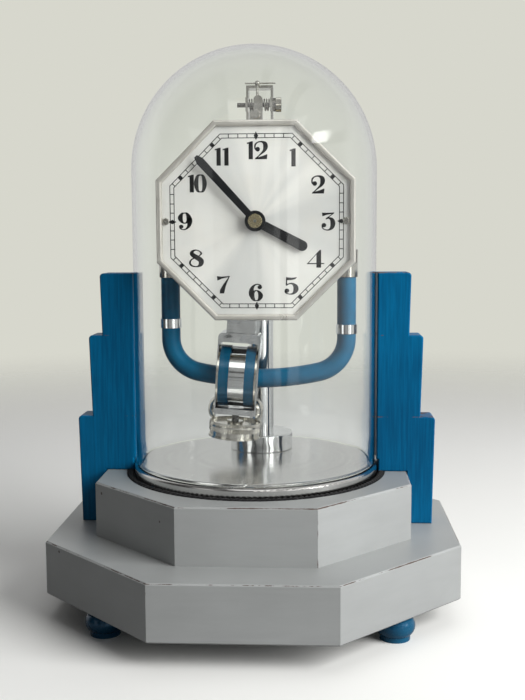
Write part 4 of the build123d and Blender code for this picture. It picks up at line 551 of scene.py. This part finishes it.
# Geometry Nodes trees, with named inputs
class Shape(Tree):
    def __init__(self, name, inputs):
        group = bpy.data.node_groups.new(name, "GeometryNodeTree")
        super().__init__(group)
        group.interface.new_socket("Geometry", in_out="OUTPUT", socket_type="NodeSocketGeometry")
        self.keys = {}
        for label, kind in inputs.items():
            socket = group.interface.new_socket(label, in_out="INPUT", socket_type=kind)
            self.keys[label] = socket.identifier
        self.entry = group.nodes.new("NodeGroupInput")
        self.exit = group.nodes.new("NodeGroupOutput")

    def given(self, label):
        return self.entry.outputs[label]

    def amount(self, label):
        return Num(self, self.given(label))

    def end(self, geometry):
        real = self.add("GeometryNodeRealizeInstances", None, {0: geometry}).outputs[0]
        coated = self.add("GeometryNodeSetMaterial", None, {0: real, "Material": self.given("Material")})
        self.feed(self.exit.inputs[0], coated.outputs[0])

    def build(self, name, values, place=None):
        holder = bpy.data.objects.new(name + "Maker", bpy.data.meshes.new(name + "Maker"))
        scene.collection.objects.link(holder)
        modifier = holder.modifiers.new("make", "NODES")
        modifier.node_group = self.inner
        for label, value in values.items():
            modifier[self.keys[label]] = value
        holder.update_tag()
        seen = holder.evaluated_get(bpy.context.evaluated_depsgraph_get())
        mesh = bpy.data.meshes.new_from_object(seen)
        mesh.name = name
        bpy.data.objects.remove(holder)
        if place:
            mesh.transform(place)
        piece = bpy.data.objects.new(name, mesh)
        scene.collection.objects.link(piece)
        return piece


cordSides = 8


def twistTree():  # one strand of a ring of twisted cord
    tree = Shape("twistedStrand", {
        "Ring Radius": "NodeSocketFloat", "Lay Radius": "NodeSocketFloat", "Strand Radius": "NodeSocketFloat",
        "Turns": "NodeSocketFloat", "Start": "NodeSocketFloat", "Steps": "NodeSocketInt",
        "Height": "NodeSocketFloat", "Material": "NodeSocketMaterial"})
    ring = tree.add("GeometryNodeCurvePrimitiveCircle", {"mode": "RADIUS"},
                    {"Resolution": tree.given("Steps"), "Radius": tree.given("Ring Radius")}).outputs[0]
    share = tree.num("GeometryNodeSplineParameter")
    turn = share * tree.amount("Turns") * (2 * math.pi) + tree.amount("Start")
    spot = tree.add("GeometryNodeInputPosition").outputs[0]
    outward = tree.add("ShaderNodeVectorMath", {"operation": "NORMALIZE"}, {0: spot}).outputs[0]
    reach = turn.math("COSINE") * tree.amount("Lay Radius")
    side = tree.add("ShaderNodeVectorMath", {"operation": "SCALE"}, {0: outward, "Scale": reach}).outputs[0]
    rise = turn.wave() * tree.amount("Lay Radius") + tree.amount("Height")
    lift = tree.add("ShaderNodeCombineXYZ", None, {2: rise}).outputs[0]
    offset = tree.add("ShaderNodeVectorMath", {"operation": "ADD"}, {0: side, 1: lift}).outputs[0]
    wound = tree.add("GeometryNodeSetPosition", None, {"Geometry": ring, "Offset": offset}).outputs[0]
    section = tree.add("GeometryNodeCurvePrimitiveCircle", {"mode": "RADIUS"},
                       {"Resolution": cordSides, "Radius": tree.given("Strand Radius")}).outputs[0]
    tube = tree.add("GeometryNodeCurveToMesh", None, {0: wound, 1: section}).outputs[0]
    tree.end(tree.add("GeometryNodeSetShadeSmooth", None, {0: tube}).outputs[0])
    return tree


ribRadius = 0.72  # corner radius of a square rib about one unit wide


def ribTree():  # a ring of small ribs about the Z axis, for knurled edges
    tree = Shape("knurledRing", {
        "Count": "NodeSocketInt", "Radius": "NodeSocketFloat", "Depth": "NodeSocketFloat",
        "Width": "NodeSocketFloat", "Length": "NodeSocketFloat", "Material": "NodeSocketMaterial"})
    feeds = {"Vertices": 4, "Radius Top": ribRadius, "Radius Bottom": ribRadius, "Depth": 1.0}
    rib = tree.add("GeometryNodeMeshCone", {"fill_type": "NGON"}, feeds).outputs[0]
    size = tree.add("ShaderNodeCombineXYZ", None,
                    {0: tree.given("Depth"), 1: tree.given("Width"), 2: tree.given("Length")}).outputs[0]
    sized = tree.add("GeometryNodeTransform", None, {"Geometry": rib, "Scale": size}).outputs[0]
    spots = tree.add("GeometryNodeMeshCircle", {"fill_type": "NONE"},
                     {"Vertices": tree.given("Count"), "Radius": tree.given("Radius")}).outputs[0]
    spot = tree.add("GeometryNodeInputPosition").outputs[0]
    split = tree.add("ShaderNodeSeparateXYZ", None, {0: spot})
    turn = Num(tree, split.outputs[1]).math("ARCTAN2", Num(tree, split.outputs[0]))
    spin = tree.add("ShaderNodeCombineXYZ", None, {2: turn}).outputs[0]
    copies = tree.add("GeometryNodeInstanceOnPoints", None,
                      {"Points": spots, "Instance": sized, "Rotation": spin}).outputs[0]
    tree.end(copies)
    return tree


# black twisted cord round the foot of the glass
footCord = {
    "ring": 0.08675, "height": 0.0866, "lay": 0.00115, "strand": 0.0013,
    "turns": 50, "strands": 3, "steps": 1000,
    "black": (0.004, 0.004, 0.005), "faded": (0.02, 0.02, 0.02), "roughness": 0.7, "sheen": 0.1,
    "gloss": 0.2, "fibre": (900.0, 3.0, 0.7), "fade": (45.0, 2.0, 0.5), "relief": (0.6, 0.0003),
}


def makeCordBlack():
    look = footCord
    surface = Surface("cordBlack", Sheen_Weight=look["sheen"], Specular_IOR_Level=look["gloss"])
    fibre = surface.noise(surface.where(), *look["fibre"])
    fade = surface.noise(surface.where(), *look["fade"])
    tone = surface.mix(fibre.step(0.35, 0.75) * 0.6 + fade * 0.3, look["black"], look["faded"])
    surface.relief(fibre, *look["relief"])
    return surface.paint(Base_Color=tone, Roughness=look["roughness"] + fibre * 0.2)


def makeFootCord():
    look, material, tree = footCord, makeCordBlack(), twistTree()
    for number in range(look["strands"]):
        strand = tree.build("cordStrand%d" % number, {
            "Ring Radius": look["ring"], "Lay Radius": look["lay"], "Strand Radius": look["strand"],
            "Turns": float(look["turns"]), "Start": 2 * math.pi * number / look["strands"],
            "Steps": look["steps"], "Height": look["height"], "Material": material})
        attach(strand, "base")
        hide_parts("dome_cord")


makeFootCord()
print("foot cord done")

# knurling on the rating nut and on the head of the beat screw
nutAlong = 0.2318  # from the pivot down the swung rod
knurls = {
    "ratingNut": {"count": 96, "radius": 0.01715, "depth": 0.0008, "width": 0.0009, "length": 0.0064,
                  "place": pivot + rodDown * nutAlong, "turn": swing, "body": "nut"},
    "beatHead": {"count": 40, "radius": 0.0044, "depth": 0.0003, "width": 0.0005, "length": 0.0034,
                 "place": (0.0153, -0.0095, 0.3355), "turn": math.pi / 2, "body": "beat_adjuster"},
}
knurlTree = ribTree()
for name, look in knurls.items():
    piece = knurlTree.build(name + "Knurl", {
        "Count": look["count"], "Radius": look["radius"], "Depth": look["depth"], "Width": look["width"],
        "Length": look["length"], "Material": metals["warmNickel"]},
        Matrix.Translation(look["place"]) @ Matrix.Rotation(look["turn"], 4, "Y"))
    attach(piece, look["body"])
print("knurls done")

# print on the dial: numerals, minute track and markers, in black
dialPrint = {
    # in millimetres on the dial
    "height": 11.5, "outer": 56.5, "inner": 53.9, "line": 0.5, "tick": 0.55, "block": 2.5,
    "diamond": (2.9, 5.6), "trackMiddle": (0.6, -0.3), "thick": 0.06, "thickShare": 0.9,
    "black": (0.006, 0.006, 0.007), "worn": (0.04, 0.038, 0.035), "wear": (700.0, 4.0, 0.7), "roughness": 0.4,
    "relief": (0.2, 0.00005),
    # numerals: their middles, the spread from digit to digit in numeral heights, and how much each is widened
    "numeralMiddles": {
        12: (0.35, 45.62), 11: (-21.45, 41.7), 10: (-38.8, 24.6), 9: (-46.23, 0.12), 8: (-39.08, -24.1),
        7: (-21.43, -41.54), 6: (0.0, -46.7), 5: (23.1, -42.43), 4: (38.93, -24.75), 3: (47.12, -0.51),
        2: (40.64, 23.27), 1: (24.65, 40.8)},
    "spread": {"12": 0.59, "11": 0.445, "10": 0.51},
    "widen": {"6": 1.17, "9": 1.17, "8": 1.13, "5": 1.12, "4": 1.11, "2": 1.0, "3": 1.03, "0": 0.95},
}
# each numeral in a box one unit high: lines of (x, y, width), balls of (x, y, radius) and straight-sided shapes
numeralShapes = {
    "0": {"loops": [[(0.0, 0.975, 0.06), (-0.17, 0.89, 0.17), (-0.25, 0.5, 0.27), (-0.17, 0.11, 0.17),
                     (0.0, 0.025, 0.06), (0.17, 0.11, 0.17), (0.25, 0.5, 0.27), (0.17, 0.89, 0.17)]]},
    "1": {"shapes": [[(-0.1, 0.0), (0.14, 0.0), (0.14, 1.0), (0.04, 1.0), (-0.1, 0.93)],
                     [(-0.2, 0.85), (-0.1, 0.87), (0.04, 1.0), (-0.1, 0.95), (-0.19, 0.93)]]},
    "2": {"lines": [[(-0.25, 0.5, 0.06), (-0.33, 0.62, 0.08), (-0.31, 0.82, 0.09), (-0.16, 0.95, 0.07),
                     (0.06, 0.97, 0.1), (0.23, 0.86, 0.24), (0.26, 0.66, 0.26), (0.17, 0.46, 0.16),
                     (-0.02, 0.28, 0.08), (-0.2, 0.12, 0.06), (-0.32, 0.04, 0.05)]],
          "balls": [(-0.18, 0.56, 0.13)],
          "shapes": [[(-0.35, 0.0), (0.34, 0.0), (0.37, 0.27), (0.32, 0.27), (0.26, 0.17)],
                     [(-0.35, 0.0), (0.26, 0.17), (0.0, 0.16), (-0.3, 0.06)]]},
    "3": {"lines": [[(0.31, 0.96, 0.05), (0.12, 0.82, 0.05), (-0.08, 0.67, 0.06)],
                    [(-0.12, 0.64, 0.06), (0.05, 0.69, 0.09), (0.21, 0.6, 0.21), (0.27, 0.4, 0.27),
                     (0.22, 0.17, 0.21), (0.06, 0.03, 0.09), (-0.14, 0.03, 0.06), (-0.29, 0.13, 0.06),
                     (-0.32, 0.27, 0.06)]],
          "balls": [(-0.22, 0.29, 0.125)],
          "shapes": [[(-0.33, 1.0), (-0.3, 0.79), (-0.1, 0.86), (-0.1, 0.985)],
                     [(-0.1, 0.985), (-0.1, 0.86), (0.34, 0.95), (0.34, 1.0)]]},
    "4": {"shapes": [[(0.06, 0.0), (0.3, 0.0), (0.3, 1.0), (0.22, 1.0), (0.06, 0.8)],
                     [(-0.42, 0.22), (-0.36, 0.22), (0.22, 0.96), (0.22, 1.0)],
                     [(-0.42, 0.2), (0.46, 0.2), (0.46, 0.26), (-0.42, 0.26)]]},
    "5": {"lines": [[(-0.24, 0.53, 0.06), (-0.08, 0.63, 0.07), (0.1, 0.61, 0.12), (0.23, 0.46, 0.24),
                     (0.24, 0.26, 0.25), (0.12, 0.08, 0.13), (-0.06, 0.03, 0.06), (-0.25, 0.09, 0.06),
                     (-0.31, 0.2, 0.06)]],
          "balls": [(-0.21, 0.23, 0.12)],
          "shapes": [[(-0.27, 0.52), (-0.21, 0.52), (-0.19, 0.9), (-0.25, 0.9)],
                     [(-0.25, 1.0), (-0.24, 0.82), (0.05, 0.84), (0.05, 0.965)],
                     [(0.05, 0.965), (0.05, 0.84), (0.24, 0.9), (0.3, 1.0)]]},
    "6": {"loops": [[(0.02, 0.61, 0.06), (-0.12, 0.52, 0.14), (-0.19, 0.31, 0.24), (-0.1, 0.08, 0.14),
                     (0.02, 0.03, 0.06), (0.15, 0.09, 0.14), (0.23, 0.31, 0.24), (0.15, 0.53, 0.14)]],
          "lines": [[(-0.21, 0.3, 0.24), (-0.23, 0.52, 0.24), (-0.18, 0.76, 0.17), (-0.06, 0.92, 0.09),
                     (0.08, 0.97, 0.06), (0.22, 0.92, 0.06), (0.27, 0.82, 0.06)]],
          "balls": [(0.19, 0.8, 0.11)]},
    "7": {"shapes": [[(-0.37, 1.0), (-0.34, 0.74), (-0.1, 0.84), (-0.12, 0.965)],
                     [(-0.12, 0.965), (-0.1, 0.84), (0.3, 0.93), (0.38, 1.0)],
                     [(0.3, 0.93), (-0.02, 0.5), (0.14, 0.44), (0.38, 1.0)],
                     [(-0.02, 0.5), (-0.2, 0.2), (-0.22, 0.0), (0.04, 0.0), (0.06, 0.2), (0.14, 0.44)]]},
    "8": {"lines": [[(0.17, 0.9, 0.06), (0.0, 0.97, 0.06), (-0.17, 0.91, 0.13), (-0.23, 0.77, 0.21),
                     (-0.1, 0.63, 0.25), (0.08, 0.51, 0.27), (0.24, 0.35, 0.27), (0.21, 0.15, 0.22),
                     (0.08, 0.04, 0.09), (-0.04, 0.025, 0.06)],
                    [(-0.04, 0.025, 0.06), (-0.24, 0.08, 0.09), (-0.33, 0.24, 0.09), (-0.25, 0.42, 0.07),
                     (-0.04, 0.55, 0.06), (0.15, 0.65, 0.06), (0.25, 0.78, 0.09), (0.17, 0.9, 0.06)]]},
}


def turnedOver(shape):  # the same numeral turned half round in its box
    over = {kind: [[(-x, 1.0 - y, *rest) for x, y, *rest in part] for part in parts]
            for kind, parts in shape.items() if kind != "balls"}
    over["balls"] = [(-x, 1.0 - y, radius) for x, y, radius in shape["balls"]]
    return over


numeralShapes["9"] = turnedOver(numeralShapes["6"])
lineSteps = 8
ballSides = 24
thinnest = 0.03


def smoothLine(points, closed):  # points of (x, y, width) joined by a smooth line
    count = len(points)
    spans = count if closed else count - 1
    line = []
    for i in range(spans):
        if closed:
            p = [Vector(points[(i + k) % count]) for k in (-1, 0, 1, 2)]
        else:
            p = [Vector(points[min(max(i + k, 0), count - 1)]) for k in (-1, 0, 1, 2)]
        for k in range(lineSteps):
            t = k / lineSteps
            line.append(0.5 * ((2 * p[1]) + (p[2] - p[0]) * t + (2 * p[0] - 5 * p[1] + 4 * p[2] - p[3]) * t * t
                               + (3 * p[1] - p[0] - 3 * p[2] + p[3]) * t ** 3))
    if not closed:
        line.append(Vector(points[-1]))
    return line


class Ink:  # flat shapes in dial millimetres, x to the right and y up
    def __init__(self):
        self.vertices, self.faces = [], []

    def face(self, points):
        start = len(self.vertices)
        self.vertices += [Vector((x, y)) for x, y in points]
        self.faces.append(tuple(range(start, start + len(points))))

    def ribbon(self, points, closed):
        line = smoothLine(points, closed)
        start, count = len(self.vertices), len(line)
        for i, spot in enumerate(line):
            after = line[(i + 1) % count] if closed or i < count - 1 else spot
            before = line[i - 1] if closed or i > 0 else spot
            along = Vector((after.x - before.x, after.y - before.y)).normalized()
            across = Vector((-along.y, along.x)) * max(spot.z, thinnest) / 2
            self.vertices += [Vector((spot.x, spot.y)) + across, Vector((spot.x, spot.y)) - across]
        for i in range(count if closed else count - 1):
            a, b = start + 2 * i, start + 2 * ((i + 1) % count)
            self.faces.append((a, a + 1, b + 1, b))

    def ball(self, x, y, radius):
        turns = [2 * math.pi * k / ballSides for k in range(ballSides)]
        self.face([(x + radius * math.cos(turn), y + radius * math.sin(turn)) for turn in turns])

    def move(self, first, scale, x, y, widen=1.0):
        for i in range(first, len(self.vertices)):
            self.vertices[i] = Vector((self.vertices[i].x * scale * widen + x, self.vertices[i].y * scale + y))


ink = Ink()
for hour, (x, y) in dialPrint["numeralMiddles"].items():
    digits = str(hour)
    size = dialPrint["height"]
    spread = dialPrint["spread"].get(digits, 0.0)
    for place, digit in enumerate(digits):
        first = len(ink.vertices)
        shape = numeralShapes[digit]
        for points in shape.get("loops", []):
            ink.ribbon(points, True)
        for points in shape.get("lines", []):
            ink.ribbon(points, False)
        for ball in shape.get("balls", []):
            ink.ball(*ball)
        for points in shape.get("shapes", []):
            ink.face(points)
        shift = (place - 0.5) * spread if len(digits) == 2 else 0.0
        ink.move(first, size, x + shift * size, y - size / 2, dialPrint["widen"].get(digit, 1.0))


def trackPoint(half, angle):  # where a ray, clockwise from twelve, crosses an octagon
    nearest = round(angle / 45.0) * 45.0
    reach = half / math.cos(math.radians(angle - nearest))
    return reach * math.sin(math.radians(angle)), reach * math.cos(math.radians(angle)), math.radians(nearest)


def inkBar(x, y, turn, width, height):  # rectangle whose height points to the angle, clockwise from up
    right, up = Vector((math.cos(turn), -math.sin(turn))), Vector((math.sin(turn), math.cos(turn)))
    corners = [(-1, -1), (1, -1), (1, 1), (-1, 1)]
    ink.face([tuple(Vector((x, y)) + right * (a * width / 2) + up * (b * height / 2)) for a, b in corners])


trackStart = len(ink.vertices)
outer, inner, line = dialPrint["outer"], dialPrint["inner"], dialPrint["line"]
for half in (outer, inner):
    side = 2 * half * math.tan(math.pi / 8)
    for number in range(8):
        turn = math.radians(45.0 * number)
        inkBar(half * math.sin(turn), half * math.cos(turn), turn, side + line, line)
for minute in range(60):
    x, y, turn = trackPoint((outer + inner) / 2, 6.0 * minute)
    if minute % 15 == 0:
        wide, tall = dialPrint["diamond"]
        right, up = Vector((math.cos(turn), -math.sin(turn))), Vector((math.sin(turn), math.cos(turn)))
        spot = Vector((x, y))
        across, along = right * wide / 2, up * tall / 2
        ink.face([tuple(spot + reach) for reach in (across, along, -across, -along)])
    elif minute % 5 == 0:
        inkBar(x, y, turn, dialPrint["block"], outer - inner + line)
    else:
        inkBar(x, y, turn, dialPrint["tick"], outer - inner)
ink.move(trackStart, 1.0, *dialPrint["trackMiddle"])


def makeDialInk():
    look = dialPrint
    surface = Surface("dialInk")
    thin = surface.noise(surface.where(), *look["wear"])
    tone = surface.mix(thin.step(0.5, 0.85) * 0.5, look["black"], look["worn"])
    surface.relief(thin, *look["relief"])
    return surface.paint(Base_Color=tone, Roughness=look["roughness"] + thin * 0.2)


def layInk():
    shape = bmesh.new()
    thick = dialPrint["thick"] * mm
    lift = dialMiddle.y - thick
    made = [shape.verts.new((dialMiddle.x + v.x * mm, lift, dialMiddle.z + v.y * mm)) for v in ink.vertices]
    for face in ink.faces:
        try:
            shape.faces.new([made[i] for i in face])
        except ValueError:
            continue
    bmesh.ops.triangulate(shape, faces=[f for f in shape.faces if len(f.verts) > 4])
    for face in shape.faces:
        face.normal_update()
        if face.normal.y > 0:
            face.normal_flip()
    mesh = bpy.data.meshes.new("dialPrint")
    shape.to_mesh(mesh)
    shape.free()
    mesh.materials.append(makeDialInk())
    holder = bpy.data.objects.new("dialPrintMaker", mesh)
    scene.collection.objects.link(holder)
    solid = holder.modifiers.new("depth", "SOLIDIFY")
    solid.thickness = thick * dialPrint["thickShare"]
    solid.offset = -1.0
    done = bpy.data.meshes.new_from_object(holder.evaluated_get(bpy.context.evaluated_depsgraph_get()))
    bpy.data.objects.remove(holder)
    piece = bpy.data.objects.new("dialPrint", done)
    scene.collection.objects.link(piece)
    return piece


printed = layInk()
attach(printed, "base")
print("dial print done")

# pale floor that fades into the background
floorLook = {
    "half": 3.0, "pale": (0.86, 0.86, 0.84), "dim": 0.97, "cloud": (3.0, 2.0, 0.5), "roughness": 0.5,
    "fade": (0.5, 1.6),
    "thrown": (0.3, 0.3, 0.3),  # what it throws back on the clock is kept low
}


def makeFloor():
    look = floorLook
    surface = Surface("floorPale", Roughness=look["roughness"])
    x, y, _ = surface.xyz()
    cloud = surface.noise(surface.where(), *look["cloud"])
    pale = surface.mix(cloud, look["pale"], tuple(look["dim"] * part for part in look["pale"]))
    path = surface.add("ShaderNodeLightPath")
    scattered, mirrored = (Num(surface, path.outputs[kind + " Depth"]) for kind in ("Diffuse", "Glossy"))
    thrown = scattered.atLeast(mirrored).upTo(1.0)
    material = surface.paint(
        Base_Color=surface.mix(thrown, pale, look["thrown"]),
        Alpha=1 - (x * x + y * y).root().step(*look["fade"]))
    half = look["half"]
    corners = [(-half, -half, 0), (half, -half, 0), (half, half, 0), (-half, half, 0)]
    newPiece("floor", corners, [(0, 1, 2, 3)], material)


# what the world shows: a plain background to the camera, soft light to matt surfaces, a room to metal and glass
studio = {
    "back": (0.68, 0.68, 0.61), "soft": 0.26, "shade": 0.015, "softAcross": (-0.8, 0.8),
    # the room is dim and brighter to the right, with a pale wall behind the clock
    "tint": (1.0, 0.995, 0.98), "room": 0.6, "dim": 0.06, "roomAcross": (-0.9, 0.9),
    "wall": 0.62, "wallFrom": (0.0, 0.4), "frontTo": (-0.25, 0.0), "blur": 0.03,
    # dark doorways across x and rails across z, as (axis, middle, half width)
    "doors": (("x", -0.36, 0.05), ("x", 0.13, 0.03), ("x", 0.5, 0.03), ("z", 0.36, 0.04), ("z", 0.04, 0.015)),
    "doorDark": 0.8,
    # windows, as (x, half width, z, half height, glow in metal, glow in glass)
    "windows": (
        (-0.68, 0.1, 0.2, 0.3, 1.5, 0.4), (0.4, 0.025, 0.2, 0.35, 1.4, 0.5),
        (0.62, 0.06, 0.25, 0.4, 2.4, 0.7), (0.86, 0.04, 0.4, 0.05, 5.0, 6.0), (0.0, 0.3, 0.75, 0.1, 1.6, 1.0)),
    # light off metal under the dome has passed the glass four times, light off the glass at most twice
    "passes": (2.2, 2.8),
}


def band(value, middle, half):  # 1 within half of the middle, 0 past it, with soft sides
    return 1 - (value - middle).size().step(half, half + studio["blur"])


def mirroredRoom(x, y, z, inside):
    room = x.step(*studio["roomAcross"]) * studio["room"] + studio["dim"]
    for axis, middle, half in studio["doors"]:
        room = room * (1 - band({"x": x, "z": z}[axis], middle, half) * studio["doorDark"])
    front = 1 - y.step(*studio["frontTo"])
    for across, wide, up, tall, inMetal, inGlass in studio["windows"]:
        glow = inside * (inMetal - inGlass) + inGlass
        room = room + band(x, across, wide) * band(z, up, tall) * front * glow
    behind = y.step(*studio["wallFrom"])
    return room * (1 - behind) + behind * studio["wall"]


def makeWorld():
    world = bpy.data.worlds.new("studio")
    world.use_nodes = True
    scene.world = world
    tree = Tree(world.node_tree)
    tree.inner.nodes.clear()
    path = tree.add("ShaderNodeLightPath")
    mirrored = Num(tree, path.outputs["Glossy Depth"]).upTo(1.0)  # also where it leaves through the glass
    scattered = Num(tree, path.outputs["Diffuse Depth"]).upTo(1.0)
    seen = Num(tree, path.outputs["Is Camera Ray"]).atLeast(Num(tree, path.outputs["Is Transmission Ray"]))
    seen = seen * (1 - mirrored) * (1 - scattered)
    shine = Num(tree, path.outputs["Is Glossy Ray"]).atLeast(mirrored * (1 - scattered))
    split = tree.add("ShaderNodeSeparateXYZ", None, {0: tree.add("ShaderNodeTexCoord").outputs["Generated"]})
    x, y, z = (Num(tree, split.outputs[axis]) for axis in range(3))
    inside = Num(tree, path.outputs["Transmission Depth"]).step(*studio["passes"])
    soft = x.step(*studio["softAcross"]) * studio["soft"] + studio["shade"]
    glows = (((1.0, 1.0, 1.0), soft), (studio["tint"], mirroredRoom(x, y, z, inside)), (studio["back"], 1.0))
    plain, mirror, back = (
        tree.add("ShaderNodeBackground", None, {"Color": colour, "Strength": strength}).outputs[0]
        for colour, strength in glows)
    first = tree.add("ShaderNodeMixShader", None, {0: shine, 1: plain, 2: mirror}).outputs[0]
    second = tree.add("ShaderNodeMixShader", None, {0: seen, 1: first, 2: back}).outputs[0]
    tree.add("ShaderNodeOutputWorld", None, {"Surface": second})


# key lamp from the right, weak fill from the left and a soft one above
lamps = {
    "keyRight": {"place": (1.05, -0.62, 0.7), "size": (0.9, 1.0), "power": 32.0, "colour": (1.0, 1.0, 0.99)},
    "fillLeft": {"place": (-1.3, -1.1, 0.7), "size": (1.4, 1.4), "power": 0.5, "colour": (0.95, 0.975, 1.0)},
    "overhead": {"place": (0.1, 0.25, 1.6), "size": (1.6, 1.2), "power": 7.0, "colour": (1.0, 1.0, 1.0)},
}
lampAim = Vector((0.0, 0.0, 0.2))


def makeLamps():
    for name, look in lamps.items():
        lamp = bpy.data.lights.new(name, "AREA")
        lamp.shape = "RECTANGLE"
        lamp.size, lamp.size_y = look["size"]
        lamp.energy = look["power"]
        lamp.color = look["colour"]
        holder = bpy.data.objects.new(name, lamp)
        holder.visible_glossy = holder.visible_transmission = False  # no white squares in the glass
        scene.collection.objects.link(holder)
        holder.location = look["place"]
        holder.rotation_euler = (lampAim - Vector(look["place"])).to_track_quat("-Z", "Y").to_euler()


# camera as fitted to the photograph, angles in radians
shot = {
    "place": (0.0421, -0.68973, 0.24844), "yaw": 0.05378239, "pitch": 0.11137721, "roll": 0.00531738,
    "lens": 51.828, "sensor": 36.0, "near": 0.01,
}


def makeCamera():
    yaw, pitch, roll = shot["yaw"], shot["pitch"], shot["roll"]
    ahead = Vector((-math.sin(yaw) * math.cos(pitch), math.cos(yaw) * math.cos(pitch), -math.sin(pitch)))
    level = Vector((math.cos(yaw), math.sin(yaw), 0.0))
    under = ahead.cross(level)
    right = level * math.cos(roll) + under * math.sin(roll)
    down = under * math.cos(roll) - level * math.sin(roll)
    lens = bpy.data.cameras.new("camera")
    lens.sensor_fit = "VERTICAL"
    lens.sensor_height = shot["sensor"]
    lens.lens = shot["lens"]
    lens.clip_start = shot["near"]
    camera = bpy.data.objects.new("camera", lens)
    scene.collection.objects.link(camera)
    turned = Matrix((right, -down, -ahead)).transposed().to_4x4()
    camera.matrix_world = Matrix.Translation(shot["place"]) @ turned
    scene.camera = camera


makeFloor()
makeWorld()
makeLamps()
makeCamera()
scene.view_settings.view_transform = "Standard"
print("studio done")
